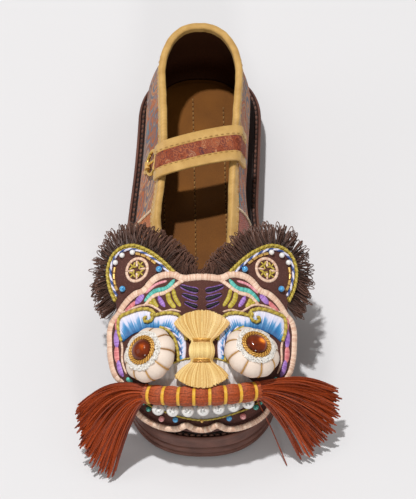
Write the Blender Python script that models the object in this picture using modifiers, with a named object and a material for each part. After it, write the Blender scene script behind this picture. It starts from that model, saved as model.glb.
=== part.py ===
"""Embroidered strap flat with an animal face on the toe, right shoe, standing empty on its sole.

Frame: metres, +Z up, toe towards -Y, big-toe (medial) side towards +X. The origin is on the floor
under the forefoot tread, halfway along the sole. All sizes below are in millimetres, and places
along the shoe are given as a distance from the toe tip.
"""
import math
from collections import namedtuple

import bmesh
import bpy
import numpy as np

MM = 0.001
GAP = 0.3
NUDGE = 0.004

# Last and sole
SOLE_LENGTH = 255.0
SOLE_HEIGHT = 22.0
SOLE_BLUNTNESS = 2.3
TOE_ROUND = 44.0
HEEL_ROUND = 37.0
TOE_SPRING = 2.5
SPRING_START = 58.0
ARCH_RISE = 3.0
ARCH_FRONT = 138.0
ARCH_BACK = 192.0
RIM = 8.0
OUTLINE_STEPS = 26

# Middle line and half width of the sole across the shoe, before toe and heel are rounded off
Width = namedtuple("Width", "from_toe middle half")
SOLE_WIDTHS = (
    Width(0, 0.0, 42.5),
    Width(45, -0.2, 43.8),
    Width(85, -1.5, 45.0),
    Width(115, -4.2, 41.8),
    Width(150, -5.0, 38.0),
    Width(180, -3.2, 37.0),
    Width(214, -1.6, 36.6),
    Width(255, -1.2, 36.0),
)

# Side of the sole from the tread up to the rim: two grooves, a rounded rim and a stitching channel
Step = namedtuple("Step", "inset height")
SOLE_SIDE = (
    Step(1.6, 0.0),
    Step(0.3, 1.2),
    Step(0.0, 4.4),
    Step(1.1, 5.0),
    Step(1.1, 5.6),
    Step(0.0, 6.2),
    Step(0.0, 10.2),
    Step(1.1, 10.8),
    Step(1.1, 11.4),
    Step(0.0, 12.0),
    Step(0.0, 20.6),
    Step(1.4, 22.0),
    Step(4.0, 22.0),
    Step(4.4, 20.8),
    Step(6.6, 20.8),
    Step(7.0, 22.0),
)

# Upper: topline around throat and collar, and the wall between the sole and the topline
WALL = 2.0
UPPER_ROWS = 11
THROAT_FRONT = 77.0
COLLAR_BACK = 244.0
THROAT_ROUND = 26.0
COLLAR_ROUND = 26.0
Topline = namedtuple("Topline", "from_toe middle half height")
TOPLINE = (
    Topline(77, -2.0, 20.0, 64.5),
    Topline(100, -3.0, 21.8, 62.5),
    Topline(122, -3.3, 22.3, 62.0),
    Topline(150, -2.2, 22.3, 63.5),
    Topline(192, -0.6, 22.0, 70.0),
    Topline(219, -1.0, 22.5, 75.5),
    Topline(244, -1.5, 22.0, 80.0),
)
# rise and dip are shares of the wall's height, reach a share of its lean, bulge is in millimetres
Wall = namedtuple("Wall", "from_toe rise reach dip bulge")
UPPER_WALL = (
    Wall(8, 0.78, 0.54, 0.03, 0.0),
    Wall(35, 0.71, 0.45, 0.07, 0.8),
    Wall(70, 0.64, 0.32, 0.14, 1.5),
    Wall(120, 0.52, 0.20, 0.28, 1.5),
    Wall(190, 0.48, 0.15, 0.32, 2.0),
    Wall(247, 0.42, 0.10, 0.40, 3.0),
)

# Insole
INSOLE_THICK = 2.6

# Bias binding folded over the topline
BINDING_WIDTH = 5.5
BINDING_INSIDE = 2.5
BINDING_THICK = 1.0
BINDING_CLEAR = 0.6

# Instep strap: sewn to the medial side, over the instep, down to the buckle on the lateral side
STRAP_WIDTH = 21.0
STRAP_THICK = 1.8
STRAP_MEDIAL_FROM_TOE = 174.0
STRAP_LATERAL_FROM_TOE = 161.0
STRAP_MEDIAL_DROP = 12.0
STRAP_LATERAL_DROP = 8.0
STRAP_CLEAR = 0.6
STRAP_BEND = 13.0
STRAP_ARCH_STEPS = 9

# Buckle: an oval brass ring with a centre bar, flat on the lateral side under the strap's end
BUCKLE_LENGTH = 21.0
BUCKLE_HEIGHT = 13.0
BUCKLE_WIRE = 1.1
BUCKLE_BAR = 1.0
BUCKLE_STEPS = 20
BUCKLE_SIDES = 6

# Face: profile of the panel's surface along the middle of the toe, and how sharply it bends across
Head = namedtuple("Head", "from_toe height radius")
HEAD = (
    Head(2, 25.2, 70),
    Head(3.5, 36, 68),
    Head(8, 48, 66),
    Head(16, 56, 70),
    Head(30, 62, 76),
    Head(52, 69, 80),
    Head(76, 74.5, 80),
    Head(112, 82.5, 80),
)
FACE_THICK = 4.0
FACE_EDGE_STEPS = 64
FACE_MIDDLE = (0.0, 55.0)
# Half of the face's edge, from the middle of the forehead round the cheek to the middle of the chin,
# measured across the face and up from the lower lip along its surface
Edge = namedtuple("Edge", "across up")
FACE_EDGE = (
    Edge(0, 94.6),
    Edge(14, 97),
    Edge(26.5, 96.5),
    Edge(35.5, 91.5),
    Edge(44.5, 86.5),
    Edge(50.5, 81),
    Edge(56.5, 74),
    Edge(58, 63),
    Edge(57, 49),
    Edge(52, 37),
    Edge(44, 22),
    Edge(39, 7),
    Edge(33, 2.6),
    Edge(25, 1.6),
    Edge(13, 4.0),
    Edge(0, 2.0),
)

# Ears: outer edge from the forehead round the tip to the temple, and the looped fringe around it
EAR_EDGE = (
    Edge(15, 99.5),
    Edge(23, 108),
    Edge(31, 114.3),
    Edge(41, 118.8),
    Edge(48.5, 118.6),
    Edge(55, 115),
    Edge(58.5, 108),
    Edge(57.5, 97),
    Edge(52, 85),
)
EAR_MIDDLE = (38.0, 101.0)
EAR_LOW = -3.2
EAR_HIGH = -0.4
EAR_ROOT_GAP = 0.6
EAR_EDGE_STEPS = 20
FRINGE_LOOPS = 16
FRINGE_LONG = 12.5
FRINGE_SHORT = 9.5
Strip = namedtuple("Strip", "out lift")
FRINGE_SECTION = (
    Strip(0.0, -3.0),
    Strip(0.45, -3.4),
    Strip(1.0, -1.2),
    Strip(0.45, 1.4),
    Strip(0.0, 0.6),
)

# Brows: raised crescents around the eyes, reach measured from the eye's middle
EYE_ACROSS = 29.5
EYE_UP = 54.0
BROW_INNER = 15.0
BROW_THICK = 1.8
BROW_STEPS = 15
Brow = namedtuple("Brow", "degrees reach")
BROW = (
    Brow(36, 17.2),
    Brow(50, 28.5),
    Brow(66, 25.8),
    Brow(82, 24.8),
    Brow(98, 22.8),
    Brow(124, 24.2),
    Brow(150, 21.0),
    Brow(170, 18.2),
)

# Eyes: stuffed, lobed balls turned outwards, each with a braided ring and a glass bead
EYE_RADIUS = 15.3
EYE_LOBES = 9
EYE_LOBE_STEPS = 4
EYE_LOBE_DEPTH = 0.035
EYE_LIFT = 7.4
EYE_TURN_OUT = 0.21
EYE_TURN_UP = 0.14
Ball = namedtuple("Ball", "share height")
EYE_PROFILE = (
    Ball(0.55, -5.8),
    Ball(0.86, -3.8),
    Ball(1.0, 0.0),
    Ball(0.96, 3.4),
    Ball(0.78, 6.2),
    Ball(0.54, 7.4),
)
EYE_BOTTOM = -6.2
EYE_DIMPLE = 5.6
IRIS_RING_RADIUS = 7.0
IRIS_RING_WIRE = 1.25
IRIS_RING_HEIGHT = 8.95
IRIS_RADIUS = 5.2
IRIS_DEPTH = 2.6
IRIS_HEIGHT = 8.5
IRIS_STEPS = 16
IRIS_RING_SIDES = 5
IRIS_LEVELS = (-60, -30, 0, 30, 60)

# Nose: silk bow with a fan above and below its knot, lying over the inner ends of the brows
Nose = namedtuple("Nose", "up half height")
NOSE = (
    Nose(36.5, 14.0, 2.2),
    Nose(38.5, 16.2, 2.6),
    Nose(43, 12.5, 3.4),
    Nose(47.5, 7.6, 4.6),
    Nose(49.3, 6.4, 4.2),
    Nose(51.5, 7.6, 6.8),
    Nose(54.7, 8.2, 8.2),
    Nose(58, 7.6, 6.8),
    Nose(60.2, 6.4, 4.2),
    Nose(62.5, 7.6, 4.4),
    Nose(67, 11.8, 3.4),
    Nose(72, 15.2, 2.8),
    Nose(75.5, 13.6, 2.4),
    Nose(77.5, 9.5, 1.8),
)
NOSE_LIFT = 2.5
NOSE_ACROSS = 11
NOSE_CROWN = 0.3
NOSE_PLEAT = 0.12

# Mouth: thread roll with gold wraps, a row of tooth pearls below it, a tassel at each end
MOUTH_UP = 30.0
MOUTH_RADIUS = 5.5
MOUTH_WAIST = 4.9
MOUTH_LIFT = 6.0
MOUTH_END = 32.3
MOUTH_SIDES = 10
WRAP_COUNT = 8
WRAP_SPACING = 8.65
WRAP_WIDTH = 1.6
WRAP_INNER = 5.35
WRAP_OUTER = 6.1
TOOTH_COUNT = 7
TOOTH_SPACING = 8.4
TOOTH_RADIUS = 3.6
TOOTH_UP = 19.5
TOOTH_LIFT = 3.2
TOOTH_SEGMENTS = 8
TOOTH_RINGS = 6
TASSEL_ROOT = 32.7
TASSEL_NECK = 9.0
TASSEL_STRANDS = 15
TASSEL_ROWS = 6
TASSEL_FLARE = 18.0
TASSEL_HALF_ROOT = 4.3
TASSEL_HALF_TIP = 2.2
TASSEL_GROOVE = 0.72
TASSEL_SHORT = 0.93
TASSEL_ROUNDING = 0.85
# Where the uppermost, middle and lowest threads of each tassel end: across, from the toe, height
Tip = namedtuple("Tip", "across from_toe height")
TASSEL_TIPS = {
    "tassel_lateral": (Tip(-68.5, 17.5, 30), Tip(-66, 0, 15), Tip(-50, -15, 4)),
    "tassel_medial": (Tip(75, 26, 32), Tip(75, 14, 17), Tip(56, -3.5, 4)),
}


def column(table, name):
    """One named column of a table as an array."""
    return np.array([getattr(row, name) for row in table], float)


def smooth(x, knots, values):
    """Smooth curve through the values at the knots (cubic pieces that share their slopes)."""
    x = np.clip(x, knots[0], knots[-1])
    slopes = np.gradient(values, knots)
    i = np.clip(np.searchsorted(knots, x, side="right") - 1, 0, len(knots) - 2)
    span = knots[i + 1] - knots[i]
    u = (x - knots[i]) / span
    start = (1 + 2 * u) * (1 - u) ** 2 * values[i] + u * (1 - u) ** 2 * span * slopes[i]
    end = u * u * (3 - 2 * u) * values[i + 1] + u * u * (u - 1) * span * slopes[i + 1]
    return start + end


def read_table(table, name, x, key="from_toe"):
    """A column of a table, read smoothly at x."""
    return smooth(x, column(table, key), column(table, name))


def unit(vectors):
    """Vectors scaled to length one."""
    return vectors / np.linalg.norm(vectors, axis=-1, keepdims=True)


def plan_point(turn, table, front, back, front_round, back_round):
    """Outline from above: turn 0 is the front tip, 0 to 1 the medial side, 1 to 2 the lateral side."""
    turn = np.mod(turn, 2.0)
    side = np.where(turn <= 1.0, 1.0, -1.0)
    along = front + (back - front) * (1 - np.cos(math.pi * turn)) / 2
    near_front = np.clip((along - front) / front_round, 0, 1)
    near_back = np.clip((back - along) / back_round, 0, 1)
    power = SOLE_BLUNTNESS
    rounding = (1 - (1 - near_front) ** power) ** (1 / power) * (1 - (1 - near_back) ** power) ** (1 / power)
    across = read_table(table, "middle", along) + side * rounding * read_table(table, "half", along)
    return np.stack([across, along], axis=-1)


def sole_plan(turn, inset=0.0):
    """The sole's outline, or a line that lies inside it by the inset."""
    shape = (SOLE_WIDTHS, 0.0, SOLE_LENGTH, TOE_ROUND, HEEL_ROUND)
    nudge = 0.01
    tangent = plan_point(turn + nudge, *shape) - plan_point(turn - nudge, *shape)
    outward = unit(np.stack([tangent[..., 1], -tangent[..., 0]], axis=-1))
    return plan_point(turn, *shape) - outward * np.asarray(inset)[..., None], outward


def toe_lift(from_toe):
    """Toe spring: how far the sole's toe is lifted off the floor."""
    return TOE_SPRING * np.clip(1 - from_toe / SPRING_START, 0, 1) ** 2


def arch_lift(from_toe):
    """Arch: how far the tread is lifted between forefoot and heel."""
    share = np.clip((from_toe - ARCH_FRONT) / (ARCH_BACK - ARCH_FRONT), 0, 1)
    return ARCH_RISE * np.sin(math.pi * share) ** 2


def shoe_point(across, from_toe, height):
    """A point of the shoe as x, y and z."""
    return np.stack(np.broadcast_arrays(across, from_toe - SOLE_LENGTH / 2, height), axis=-1)


def sole_top(from_toe):
    """Height of the sole's upper face."""
    return SOLE_HEIGHT + toe_lift(from_toe)


TURNS = np.arange(2 * OUTLINE_STEPS) / OUTLINE_STEPS


def upper_controls(turn):
    """The four control points of the upper's wall at each turn, from the sole up to the topline."""
    foot_plan, outward = sole_plan(turn, RIM)
    top_plan = plan_point(turn, TOPLINE, THROAT_FRONT, COLLAR_BACK, THROAT_ROUND, COLLAR_ROUND)
    foot = shoe_point(foot_plan[..., 0], foot_plan[..., 1], sole_top(foot_plan[..., 1]) + GAP)
    top = shoe_point(top_plan[..., 0], top_plan[..., 1], read_table(TOPLINE, "height", top_plan[..., 1]))
    wall_height = (top - foot)[..., 2]
    rise, reach, dip, bulge = [read_table(UPPER_WALL, name, foot_plan[..., 1])
                               for name in ("rise", "reach", "dip", "bulge")]
    low = foot.copy()
    low[..., :2] += outward * bulge[..., None]
    low[..., 2] += rise * wall_height
    high = top.copy()
    high[..., :2] += (foot - top)[..., :2] * reach[..., None]
    high[..., 2] -= dip * wall_height
    return foot, low, high, top


def upper_point(turn, up):
    """Outer face of the upper: up runs from 0 at the sole to 1 at the topline."""
    foot, low, high, top = upper_controls(turn)
    up = np.asarray(up)[..., None]
    return (foot * (1 - up) ** 3 + low * 3 * up * (1 - up) ** 2
            + high * 3 * up ** 2 * (1 - up) + top * up ** 3)


def loft(rings, caps=None, close_rows=False):
    """Mesh skinned over a stack of closed rings, an array of rows by columns of points.

    caps: "strip" joins opposite points of each end ring, a pair of points ends both in a fan.
    """
    rows, columns = rings.shape[:2]
    grid = np.arange(rows * columns).reshape(rows, columns)
    points = [tuple(p) for p in rings.reshape(-1, 3) * MM]
    faces = []
    for row in range(rows if close_rows else rows - 1):
        here = grid[row]
        above = grid[(row + 1) % rows]
        for c in range(columns):
            d = (c + 1) % columns
            faces.append((here[c], here[d], above[d], above[c]))
    if caps == "strip":
        for ring in (grid[0], grid[-1]):
            for c in range(columns // 2):
                corners = (ring[c], ring[c + 1], ring[-c - 1], ring[-c])
                faces.append(tuple(dict.fromkeys(corners)))
    elif caps is not None:
        for ring, middle in ((grid[0], caps[0]), (grid[-1], caps[1])):
            points.append(tuple(np.asarray(middle) * MM))
            hub = len(points) - 1
            faces.extend((ring[c], ring[(c + 1) % columns], hub) for c in range(columns))
    mesh = bpy.data.meshes.new("loft")
    mesh.from_pydata(points, [], [tuple(int(i) for i in face) for face in faces])
    shell = bmesh.new()
    shell.from_mesh(mesh)
    bmesh.ops.recalc_face_normals(shell, faces=shell.faces)
    shell.to_mesh(mesh)
    shell.free()
    return mesh


def material(name, colour, roughness, metallic=0.0):
    """A Principled BSDF with one colour."""
    made = bpy.data.materials.new(name)
    made.use_nodes = True
    shader = made.node_tree.nodes["Principled BSDF"]
    shader.inputs["Base Color"].default_value = (*colour, 1.0)
    shader.inputs["Roughness"].default_value = roughness
    shader.inputs["Metallic"].default_value = metallic
    return made


def add_part(name, mesh, finish, crease=40.0):
    """Put a mesh into the shoe's collection as a named part."""
    mesh.name = name
    mesh.materials.append(finish)
    mesh.shade_smooth()
    mesh.set_sharp_from_angle(angle=math.radians(crease))
    part = bpy.data.objects.new(name, mesh)
    SHOE.objects.link(part)
    return part


def make_outsole():
    """Moulded sole: outline with toe spring, arch, grooved side and stitching channel in the rim."""
    rings = []
    for step in SOLE_SIDE:
        plan, _ = sole_plan(TURNS, step.inset)
        from_toe = plan[:, 1]
        arch = arch_lift(from_toe) * (1 - step.height / SOLE_HEIGHT)
        rings.append(shoe_point(plan[:, 0], from_toe, step.height + toe_lift(from_toe) + arch))
    add_part("outsole", loft(np.array(rings), "strip"), material("sole_rubber", (0.10, 0.045, 0.03), 0.55))


def make_upper():
    """Hollow cloth upper, open at the throat, the collar and underneath."""
    ups = np.linspace(0, 1, UPPER_ROWS)
    rings = np.array([upper_point(TURNS, np.full(len(TURNS), up)) for up in ups])
    part = add_part("upper", loft(rings), material("brocade", (0.42, 0.20, 0.10), 0.75))
    wall = part.modifiers.new("wall", "SOLIDIFY")
    wall.thickness = WALL * MM
    wall.offset = -1.0
    wall.use_even_offset = True


def make_insole():
    """Insole lying on the sole inside the upper."""
    plan, _ = sole_plan(TURNS, RIM + WALL + 2 * GAP)
    low = sole_top(plan[:, 1]) + GAP
    rings = [shoe_point(plan[:, 0], plan[:, 1], low + lift) for lift in (0.0, INSOLE_THICK)]
    add_part("insole", loft(np.array(rings), "strip"), material("insole_leather", (0.28, 0.14, 0.045), 0.6))


def upper_frame(turn, up):
    """Point on the upper with its directions outwards, up the wall and along the shoe."""
    point = upper_point(turn, up)
    along = unit(upper_point(turn + NUDGE, up) - upper_point(turn - NUDGE, up))
    outward = unit(np.cross(along, point - upper_point(turn, up - NUDGE)))
    return point, outward, np.cross(outward, along), along


def side_point(turn, drop, lift):
    """A point over the upper's outside with its directions.

    drop is measured down from the topline, square to it (up from it if negative), lift outwards.
    """
    turn = np.asarray(turn, float)
    top = np.ones_like(turn)
    per_turn = (upper_point(turn + NUDGE, top) - upper_point(turn - NUDGE, top)) / (2 * NUDGE)
    per_share = (upper_point(turn, top) - upper_point(turn, top - NUDGE)) / NUDGE
    drift = np.sum(per_share * per_turn, axis=-1) / np.sum(per_turn ** 2, axis=-1)
    square = np.linalg.norm(per_share - per_turn * drift[..., None], axis=-1)
    share = max(drop, 0.0) / square
    point, outward, climb, along = upper_frame(turn + drift * share, top - share)
    return point + outward * lift + climb * max(-drop, 0.0), outward, climb, along


def make_binding():
    """Folded binding: a U-shaped band over the edge of the upper, all round throat and collar."""
    out = BINDING_CLEAR + BINDING_THICK
    section = (
        (BINDING_WIDTH, out),
        (-out, out),
        (-out, -WALL - out),
        (BINDING_INSIDE, -WALL - out),
        (BINDING_INSIDE, -WALL - BINDING_CLEAR),
        (-BINDING_CLEAR, -WALL - BINDING_CLEAR),
        (-BINDING_CLEAR, BINDING_CLEAR),
        (BINDING_WIDTH, BINDING_CLEAR),
    )
    rings = np.array([side_point(TURNS, drop, lift)[0] for drop, lift in section])
    add_part("binding", loft(rings, close_rows=True), material("gold_tape", (0.55, 0.38, 0.14), 0.5))


def topline_turn(from_toe, lateral):
    """The turn at which the topline passes a given distance from the toe."""
    share = (from_toe - THROAT_FRONT) / (COLLAR_BACK - THROAT_FRONT)
    turn = math.acos(1 - 2 * share) / math.pi
    return 2 - turn if lateral else turn


def make_strap():
    """Strap: a flat band up the medial side, over the instep and down the lateral side."""
    lift = BINDING_CLEAR + BINDING_THICK + STRAP_CLEAR + STRAP_THICK / 2
    start = topline_turn(STRAP_MEDIAL_FROM_TOE, lateral=False)
    finish = topline_turn(STRAP_LATERAL_FROM_TOE, lateral=True)
    over = -(BINDING_CLEAR + BINDING_THICK + STRAP_CLEAR)
    middles = []
    widths = []
    for drop in (STRAP_MEDIAL_DROP, STRAP_MEDIAL_DROP / 2, 0.0, over):
        point, _, medial_climb, medial_along = side_point(start, drop, lift)
        middles.append(point)
        widths.append(medial_along)
    far, _, lateral_climb, lateral_along = side_point(finish, over, lift)
    near = middles[-1]
    for step in range(1, STRAP_ARCH_STEPS):
        t = step / STRAP_ARCH_STEPS
        middles.append(near * (1 - t) ** 3 + (near + medial_climb * STRAP_BEND) * 3 * t * (1 - t) ** 2
                       + (far + lateral_climb * STRAP_BEND) * 3 * t * t * (1 - t) + far * t ** 3)
        widths.append(unit(medial_along * (1 - t) - lateral_along * t))
    for drop in (over, 0.0, STRAP_LATERAL_DROP / 2, STRAP_LATERAL_DROP):
        middles.append(side_point(finish, drop, lift)[0])
        widths.append(-lateral_along)
    middles = np.array(middles)
    widths = np.array(widths)
    faces = unit(np.cross(widths, np.gradient(middles, axis=0)))
    corners = ((1, 1), (1, -1), (-1, -1), (-1, 1))
    rings = np.stack([middles + widths * w * STRAP_WIDTH / 2 + faces * f * STRAP_THICK / 2
                      for w, f in corners], axis=1)
    add_part("strap", loft(rings, "strip"), material("strap_brocade", (0.40, 0.20, 0.11), 0.7), crease=30)


def tube(path, sides, radius, closed):
    """Round tube of points around a path that lies near a plane."""
    if closed:
        run = unit(np.roll(path, -1, axis=0) - np.roll(path, 1, axis=0))
    else:
        run = unit(np.gradient(path, axis=0))
    flat = unit(np.linalg.svd(path - path.mean(axis=0))[2][2])
    side = unit(np.cross(run, flat))
    angles = np.arange(sides) * 2 * math.pi / sides
    return (path[:, None] + np.cos(angles)[None, :, None] * side[:, None] * radius
            + np.sin(angles)[None, :, None] * flat * radius)


def make_buckle():
    """Buckle: an oval wire ring with a bar across its middle, lying against the lateral side."""
    turn = topline_turn(STRAP_LATERAL_FROM_TOE, lateral=True)
    half_height = BUCKLE_HEIGHT / 2 - BUCKLE_WIRE
    half_length = BUCKLE_LENGTH / 2 - BUCKLE_WIRE
    drop = STRAP_LATERAL_DROP + GAP + BUCKLE_HEIGHT / 2
    middle, outward, climb, along = side_point(turn, drop, BUCKLE_WIRE + STRAP_CLEAR)
    angles = np.arange(BUCKLE_STEPS)[:, None] * 2 * math.pi / BUCKLE_STEPS
    path = middle + along * half_length * np.cos(angles) + climb * half_height * np.sin(angles)
    rings = tube(path, BUCKLE_SIDES, BUCKLE_WIRE, closed=True)
    brass = material("brass", (0.70, 0.45, 0.13), 0.28, 1.0)
    ring = add_part("buckle", loft(rings, close_rows=True), brass, crease=60)
    ends = np.array([[-1.0], [1.0]])
    angles = np.arange(BUCKLE_SIDES) * 2 * math.pi / BUCKLE_SIDES
    circle = (np.cos(angles)[:, None] * along + np.sin(angles)[:, None] * outward) * BUCKLE_BAR
    bar_rings = middle + (climb * half_height * ends)[:, None] + circle
    bar = bpy.data.objects.new("buckle_bar", loft(bar_rings, "strip"))
    CUTTERS.objects.link(bar)
    bar.hide_render = True
    bar.display_type = "WIRE"
    join = ring.modifiers.new("bar", "BOOLEAN")
    join.operation = "UNION"
    join.solver = "EXACT"
    join.object = bar


HEAD_STEPS = np.hypot(np.diff(column(HEAD, "from_toe")), np.diff(column(HEAD, "height")))
HEAD_UP = np.concatenate([[0.0], np.cumsum(HEAD_STEPS)])


def head_line(up):
    """Middle line of the face: distance from the toe and height, as one array."""
    return np.stack([smooth(up, HEAD_UP, column(HEAD, "from_toe")),
                     smooth(up, HEAD_UP, column(HEAD, "height"))], axis=-1)


def head_point(across, up, lift):
    """Point on the face, across it and up it along its surface, lifted off it by a distance."""
    across, up, lift = np.broadcast_arrays(np.asarray(across, float), up, lift)
    nudge = 0.05
    inner = np.clip(up, HEAD_UP[0] + nudge, HEAD_UP[-1] - nudge)
    slope = unit(head_line(inner + nudge) - head_line(inner - nudge))
    radius = smooth(up, HEAD_UP, column(HEAD, "radius"))
    angle = across / radius
    rise = lift * np.cos(angle) - radius * (1 - np.cos(angle))
    line = head_line(up)
    return shoe_point((radius + lift) * np.sin(angle),
                      line[..., 0] - slope[..., 1] * rise,
                      line[..., 1] + slope[..., 0] * rise)


def head_frame(across, up, lift):
    """Point on the face with its directions across, up and out of the surface."""
    nudge = 0.1
    point = head_point(across, up, lift)
    right = unit(head_point(across + nudge, up, lift) - head_point(across - nudge, up, lift))
    out = unit(np.cross(right, head_point(across, up + nudge, lift) - head_point(across, up - nudge, lift)))
    return point, right, np.cross(out, right), out


def run_through(edge, steps, closed=False):
    """Smooth run of points through an edge's corners, spaced evenly along it."""
    corners = np.array(edge, float)
    if closed:
        corners = np.concatenate([corners[-3:], corners, corners[:3]])
    lengths = np.concatenate([[0.0], np.cumsum(np.linalg.norm(np.diff(corners, axis=0), axis=1))])
    if closed:
        places = np.linspace(lengths[3], lengths[-3], steps, endpoint=False)
    else:
        places = np.linspace(0.0, lengths[-1], steps)
    return np.stack([smooth(places, lengths, corners[:, i]) for i in (0, 1)], axis=-1)


def push_out(run, distance):
    """An open run of points moved to its left side."""
    heading = unit(np.gradient(run, axis=0))
    return run + np.stack([-heading[:, 1], heading[:, 0]], axis=-1) * distance


def head_pad(edge, middle, low, high, shares):
    """Pad that follows the face's surface inside a closed edge, between two lifts."""
    middle = np.array(middle)
    spread = list(shares) + [1.0]
    stack = [(share, low) for share in spread] + [(share, high) for share in reversed(spread)]
    flats = [(middle + (edge - middle) * share, lift) for share, lift in stack]
    rings = np.array([head_point(flat[:, 0], flat[:, 1], lift) for flat, lift in flats])
    return loft(rings, (head_point(middle[0], middle[1], low), head_point(middle[0], middle[1], high)))


def mirrored(points, side):
    """Points across and up the face, on the medial side (1) or the lateral side (-1)."""
    return np.array(points, float) * (side, 1)


SIDES = (("medial", 1), ("lateral", -1))


def face_edge():
    """The whole closed edge of the face, both sides."""
    other = [Edge(-corner.across, corner.up) for corner in reversed(FACE_EDGE[1:-1])]
    return run_through(FACE_EDGE + tuple(other), FACE_EDGE_STEPS, closed=True)


def make_face():
    """Face panel: thick felt that follows the toe and stands out over its sides."""
    felt = material("face_felt", (0.10, 0.05, 0.035), 0.9)
    add_part("face_panel", head_pad(face_edge(), FACE_MIDDLE, -FACE_THICK, 0.0, (0.4, 0.75)), felt)


def make_ears():
    """Ears: flat felt leaves that continue the forehead upwards and outwards."""
    rim = run_through(EAR_EDGE, EAR_EDGE_STEPS)
    inner, outer = EAR_EDGE[0], EAR_EDGE[-1]
    forehead = [corner for corner in face_edge()
                if inner.across < corner[0] < outer.across and corner[1] > FACE_MIDDLE[1]]
    root = push_out(np.array(sorted(forehead, key=lambda corner: -corner[0])), -EAR_ROOT_GAP)
    for name, side in SIDES:
        felt = material("ear_felt_" + name, (0.11, 0.05, 0.035), 0.9)
        edge = mirrored(np.concatenate([rim, root]), side)
        middle = mirrored(EAR_MIDDLE, side)
        add_part("ear_" + name, head_pad(edge, middle, EAR_LOW, EAR_HIGH, (0.6,)), felt)


def make_fringes():
    """Ear fringes: a band of looped thread around each ear, its loops fused into one strip."""
    rim = run_through(EAR_EDGE, 2 * FRINGE_LOOPS + 1)
    long_loop = np.arange(len(rim)) % 2 == 1
    reach = np.where(long_loop, FRINGE_LONG, FRINGE_SHORT)
    for name, side in SIDES:
        thread = material("fringe_thread_" + name, (0.07, 0.03, 0.02), 0.85)
        columns = []
        for strip in FRINGE_SECTION:
            run = mirrored(push_out(rim, (GAP + strip.out * reach)[:, None]), side)
            columns.append(head_point(run[:, 0], run[:, 1], strip.lift))
        add_part("ear_fringe_" + name, loft(np.stack(columns, axis=1), "strip"), thread, crease=30)


def make_brows():
    """Brows: raised satin crescents over and beside the eyes."""
    degrees = np.linspace(BROW[0].degrees, BROW[-1].degrees, BROW_STEPS)
    reach = read_table(BROW, "reach", degrees, key="degrees")
    turn = np.radians(degrees)
    for name, side in SIDES:
        satin = material("brow_satin_" + name, (0.45, 0.55, 0.75), 0.5)
        columns = []
        for radius, lift in ((BROW_INNER, GAP), (reach, GAP), (reach, BROW_THICK), (BROW_INNER, BROW_THICK)):
            across = side * (EYE_ACROSS + radius * np.cos(turn))
            columns.append(head_point(across, EYE_UP + radius * np.sin(turn), lift))
        add_part("brow_" + name, loft(np.stack(columns, axis=1), "strip"), satin)


def eye_frame(side):
    """Middle of an eye with its own directions: across, up and along the line of sight."""
    point, right, up, out = head_frame(side * EYE_ACROSS, EYE_UP, EYE_LIFT)
    sight = unit(out + right * side * EYE_TURN_OUT + up * EYE_TURN_UP)
    right = unit(right - sight * np.dot(right, sight))
    return point, right, np.cross(sight, right), sight


def eye_ring(frame, radius, height, angles):
    """A circle around an eye's line of sight."""
    point, right, up, sight = frame
    return (point + sight * height + right * (radius * np.cos(angles))[:, None]
            + up * (radius * np.sin(angles))[:, None])


def make_eyes():
    """Eyes: lobed stuffed balls, each with a braided ring and a glass bead in its dimple."""
    steps = EYE_LOBES * EYE_LOBE_STEPS
    angles = np.arange(steps) * 2 * math.pi / steps
    lobes = 1 - EYE_LOBE_DEPTH * (1 + np.cos(EYE_LOBES * angles))
    around = np.arange(IRIS_STEPS) * 2 * math.pi / IRIS_STEPS
    ones = np.ones(IRIS_STEPS)
    for name, side in SIDES:
        frame = eye_frame(side)
        point, _, _, sight = frame
        rings = np.array([eye_ring(frame, EYE_RADIUS * row.share * lobes, row.height, angles)
                          for row in EYE_PROFILE])
        ends = (point + sight * EYE_BOTTOM, point + sight * EYE_DIMPLE)
        add_part("eye_" + name, loft(rings, ends), material("eye_satin_" + name, (0.80, 0.74, 0.66), 0.45))
        wire = np.arange(IRIS_RING_SIDES) * 2 * math.pi / IRIS_RING_SIDES
        rings = np.array([eye_ring(frame, (IRIS_RING_RADIUS + IRIS_RING_WIRE * math.cos(w)) * ones,
                                   IRIS_RING_HEIGHT + IRIS_RING_WIRE * math.sin(w), around) for w in wire])
        braid = material("iris_braid_" + name, (0.55, 0.30, 0.06), 0.4, 0.6)
        add_part("iris_ring_" + name, loft(rings, close_rows=True), braid, crease=60)
        levels = np.radians(IRIS_LEVELS)
        rings = np.array([eye_ring(frame, IRIS_RADIUS * math.cos(level) * ones,
                                   IRIS_HEIGHT + IRIS_DEPTH * math.sin(level), around) for level in levels])
        ends = (point + sight * (IRIS_HEIGHT - IRIS_DEPTH), point + sight * (IRIS_HEIGHT + IRIS_DEPTH))
        add_part("iris_bead_" + name, loft(rings, ends), material("amber_" + name, (0.35, 0.10, 0.01), 0.08))


def make_nose():
    """Nose: a silk bow, its pleated fans above and below a round knot."""
    spread = np.linspace(-1, 1, NOSE_ACROSS)
    pleat = np.where(np.arange(NOSE_ACROSS) % 2 == 0, 0.0, NOSE_PLEAT)
    half = column(NOSE, "half")[:, None]
    up = column(NOSE, "up")[:, None]
    top = NOSE_LIFT + column(NOSE, "height")[:, None] * (1 - NOSE_CROWN * spread ** 2 - pleat)
    upper_side = head_point(spread * half, up, top)
    under_side = head_point(spread * half, up, NOSE_LIFT)[:, ::-1]
    silk = material("nose_silk", (0.75, 0.55, 0.22), 0.4)
    add_part("nose_bow", loft(np.concatenate([upper_side, under_side], axis=1), "strip"), silk, crease=60)


def mouth_ring(across, radius):
    """A circle around the thread roll."""
    point, _, up, out = head_frame(across, MOUTH_UP, MOUTH_LIFT)
    angles = np.arange(MOUTH_SIDES)[:, None] * 2 * math.pi / MOUTH_SIDES
    return point + radius * (np.cos(angles) * up + np.sin(angles) * out)


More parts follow.
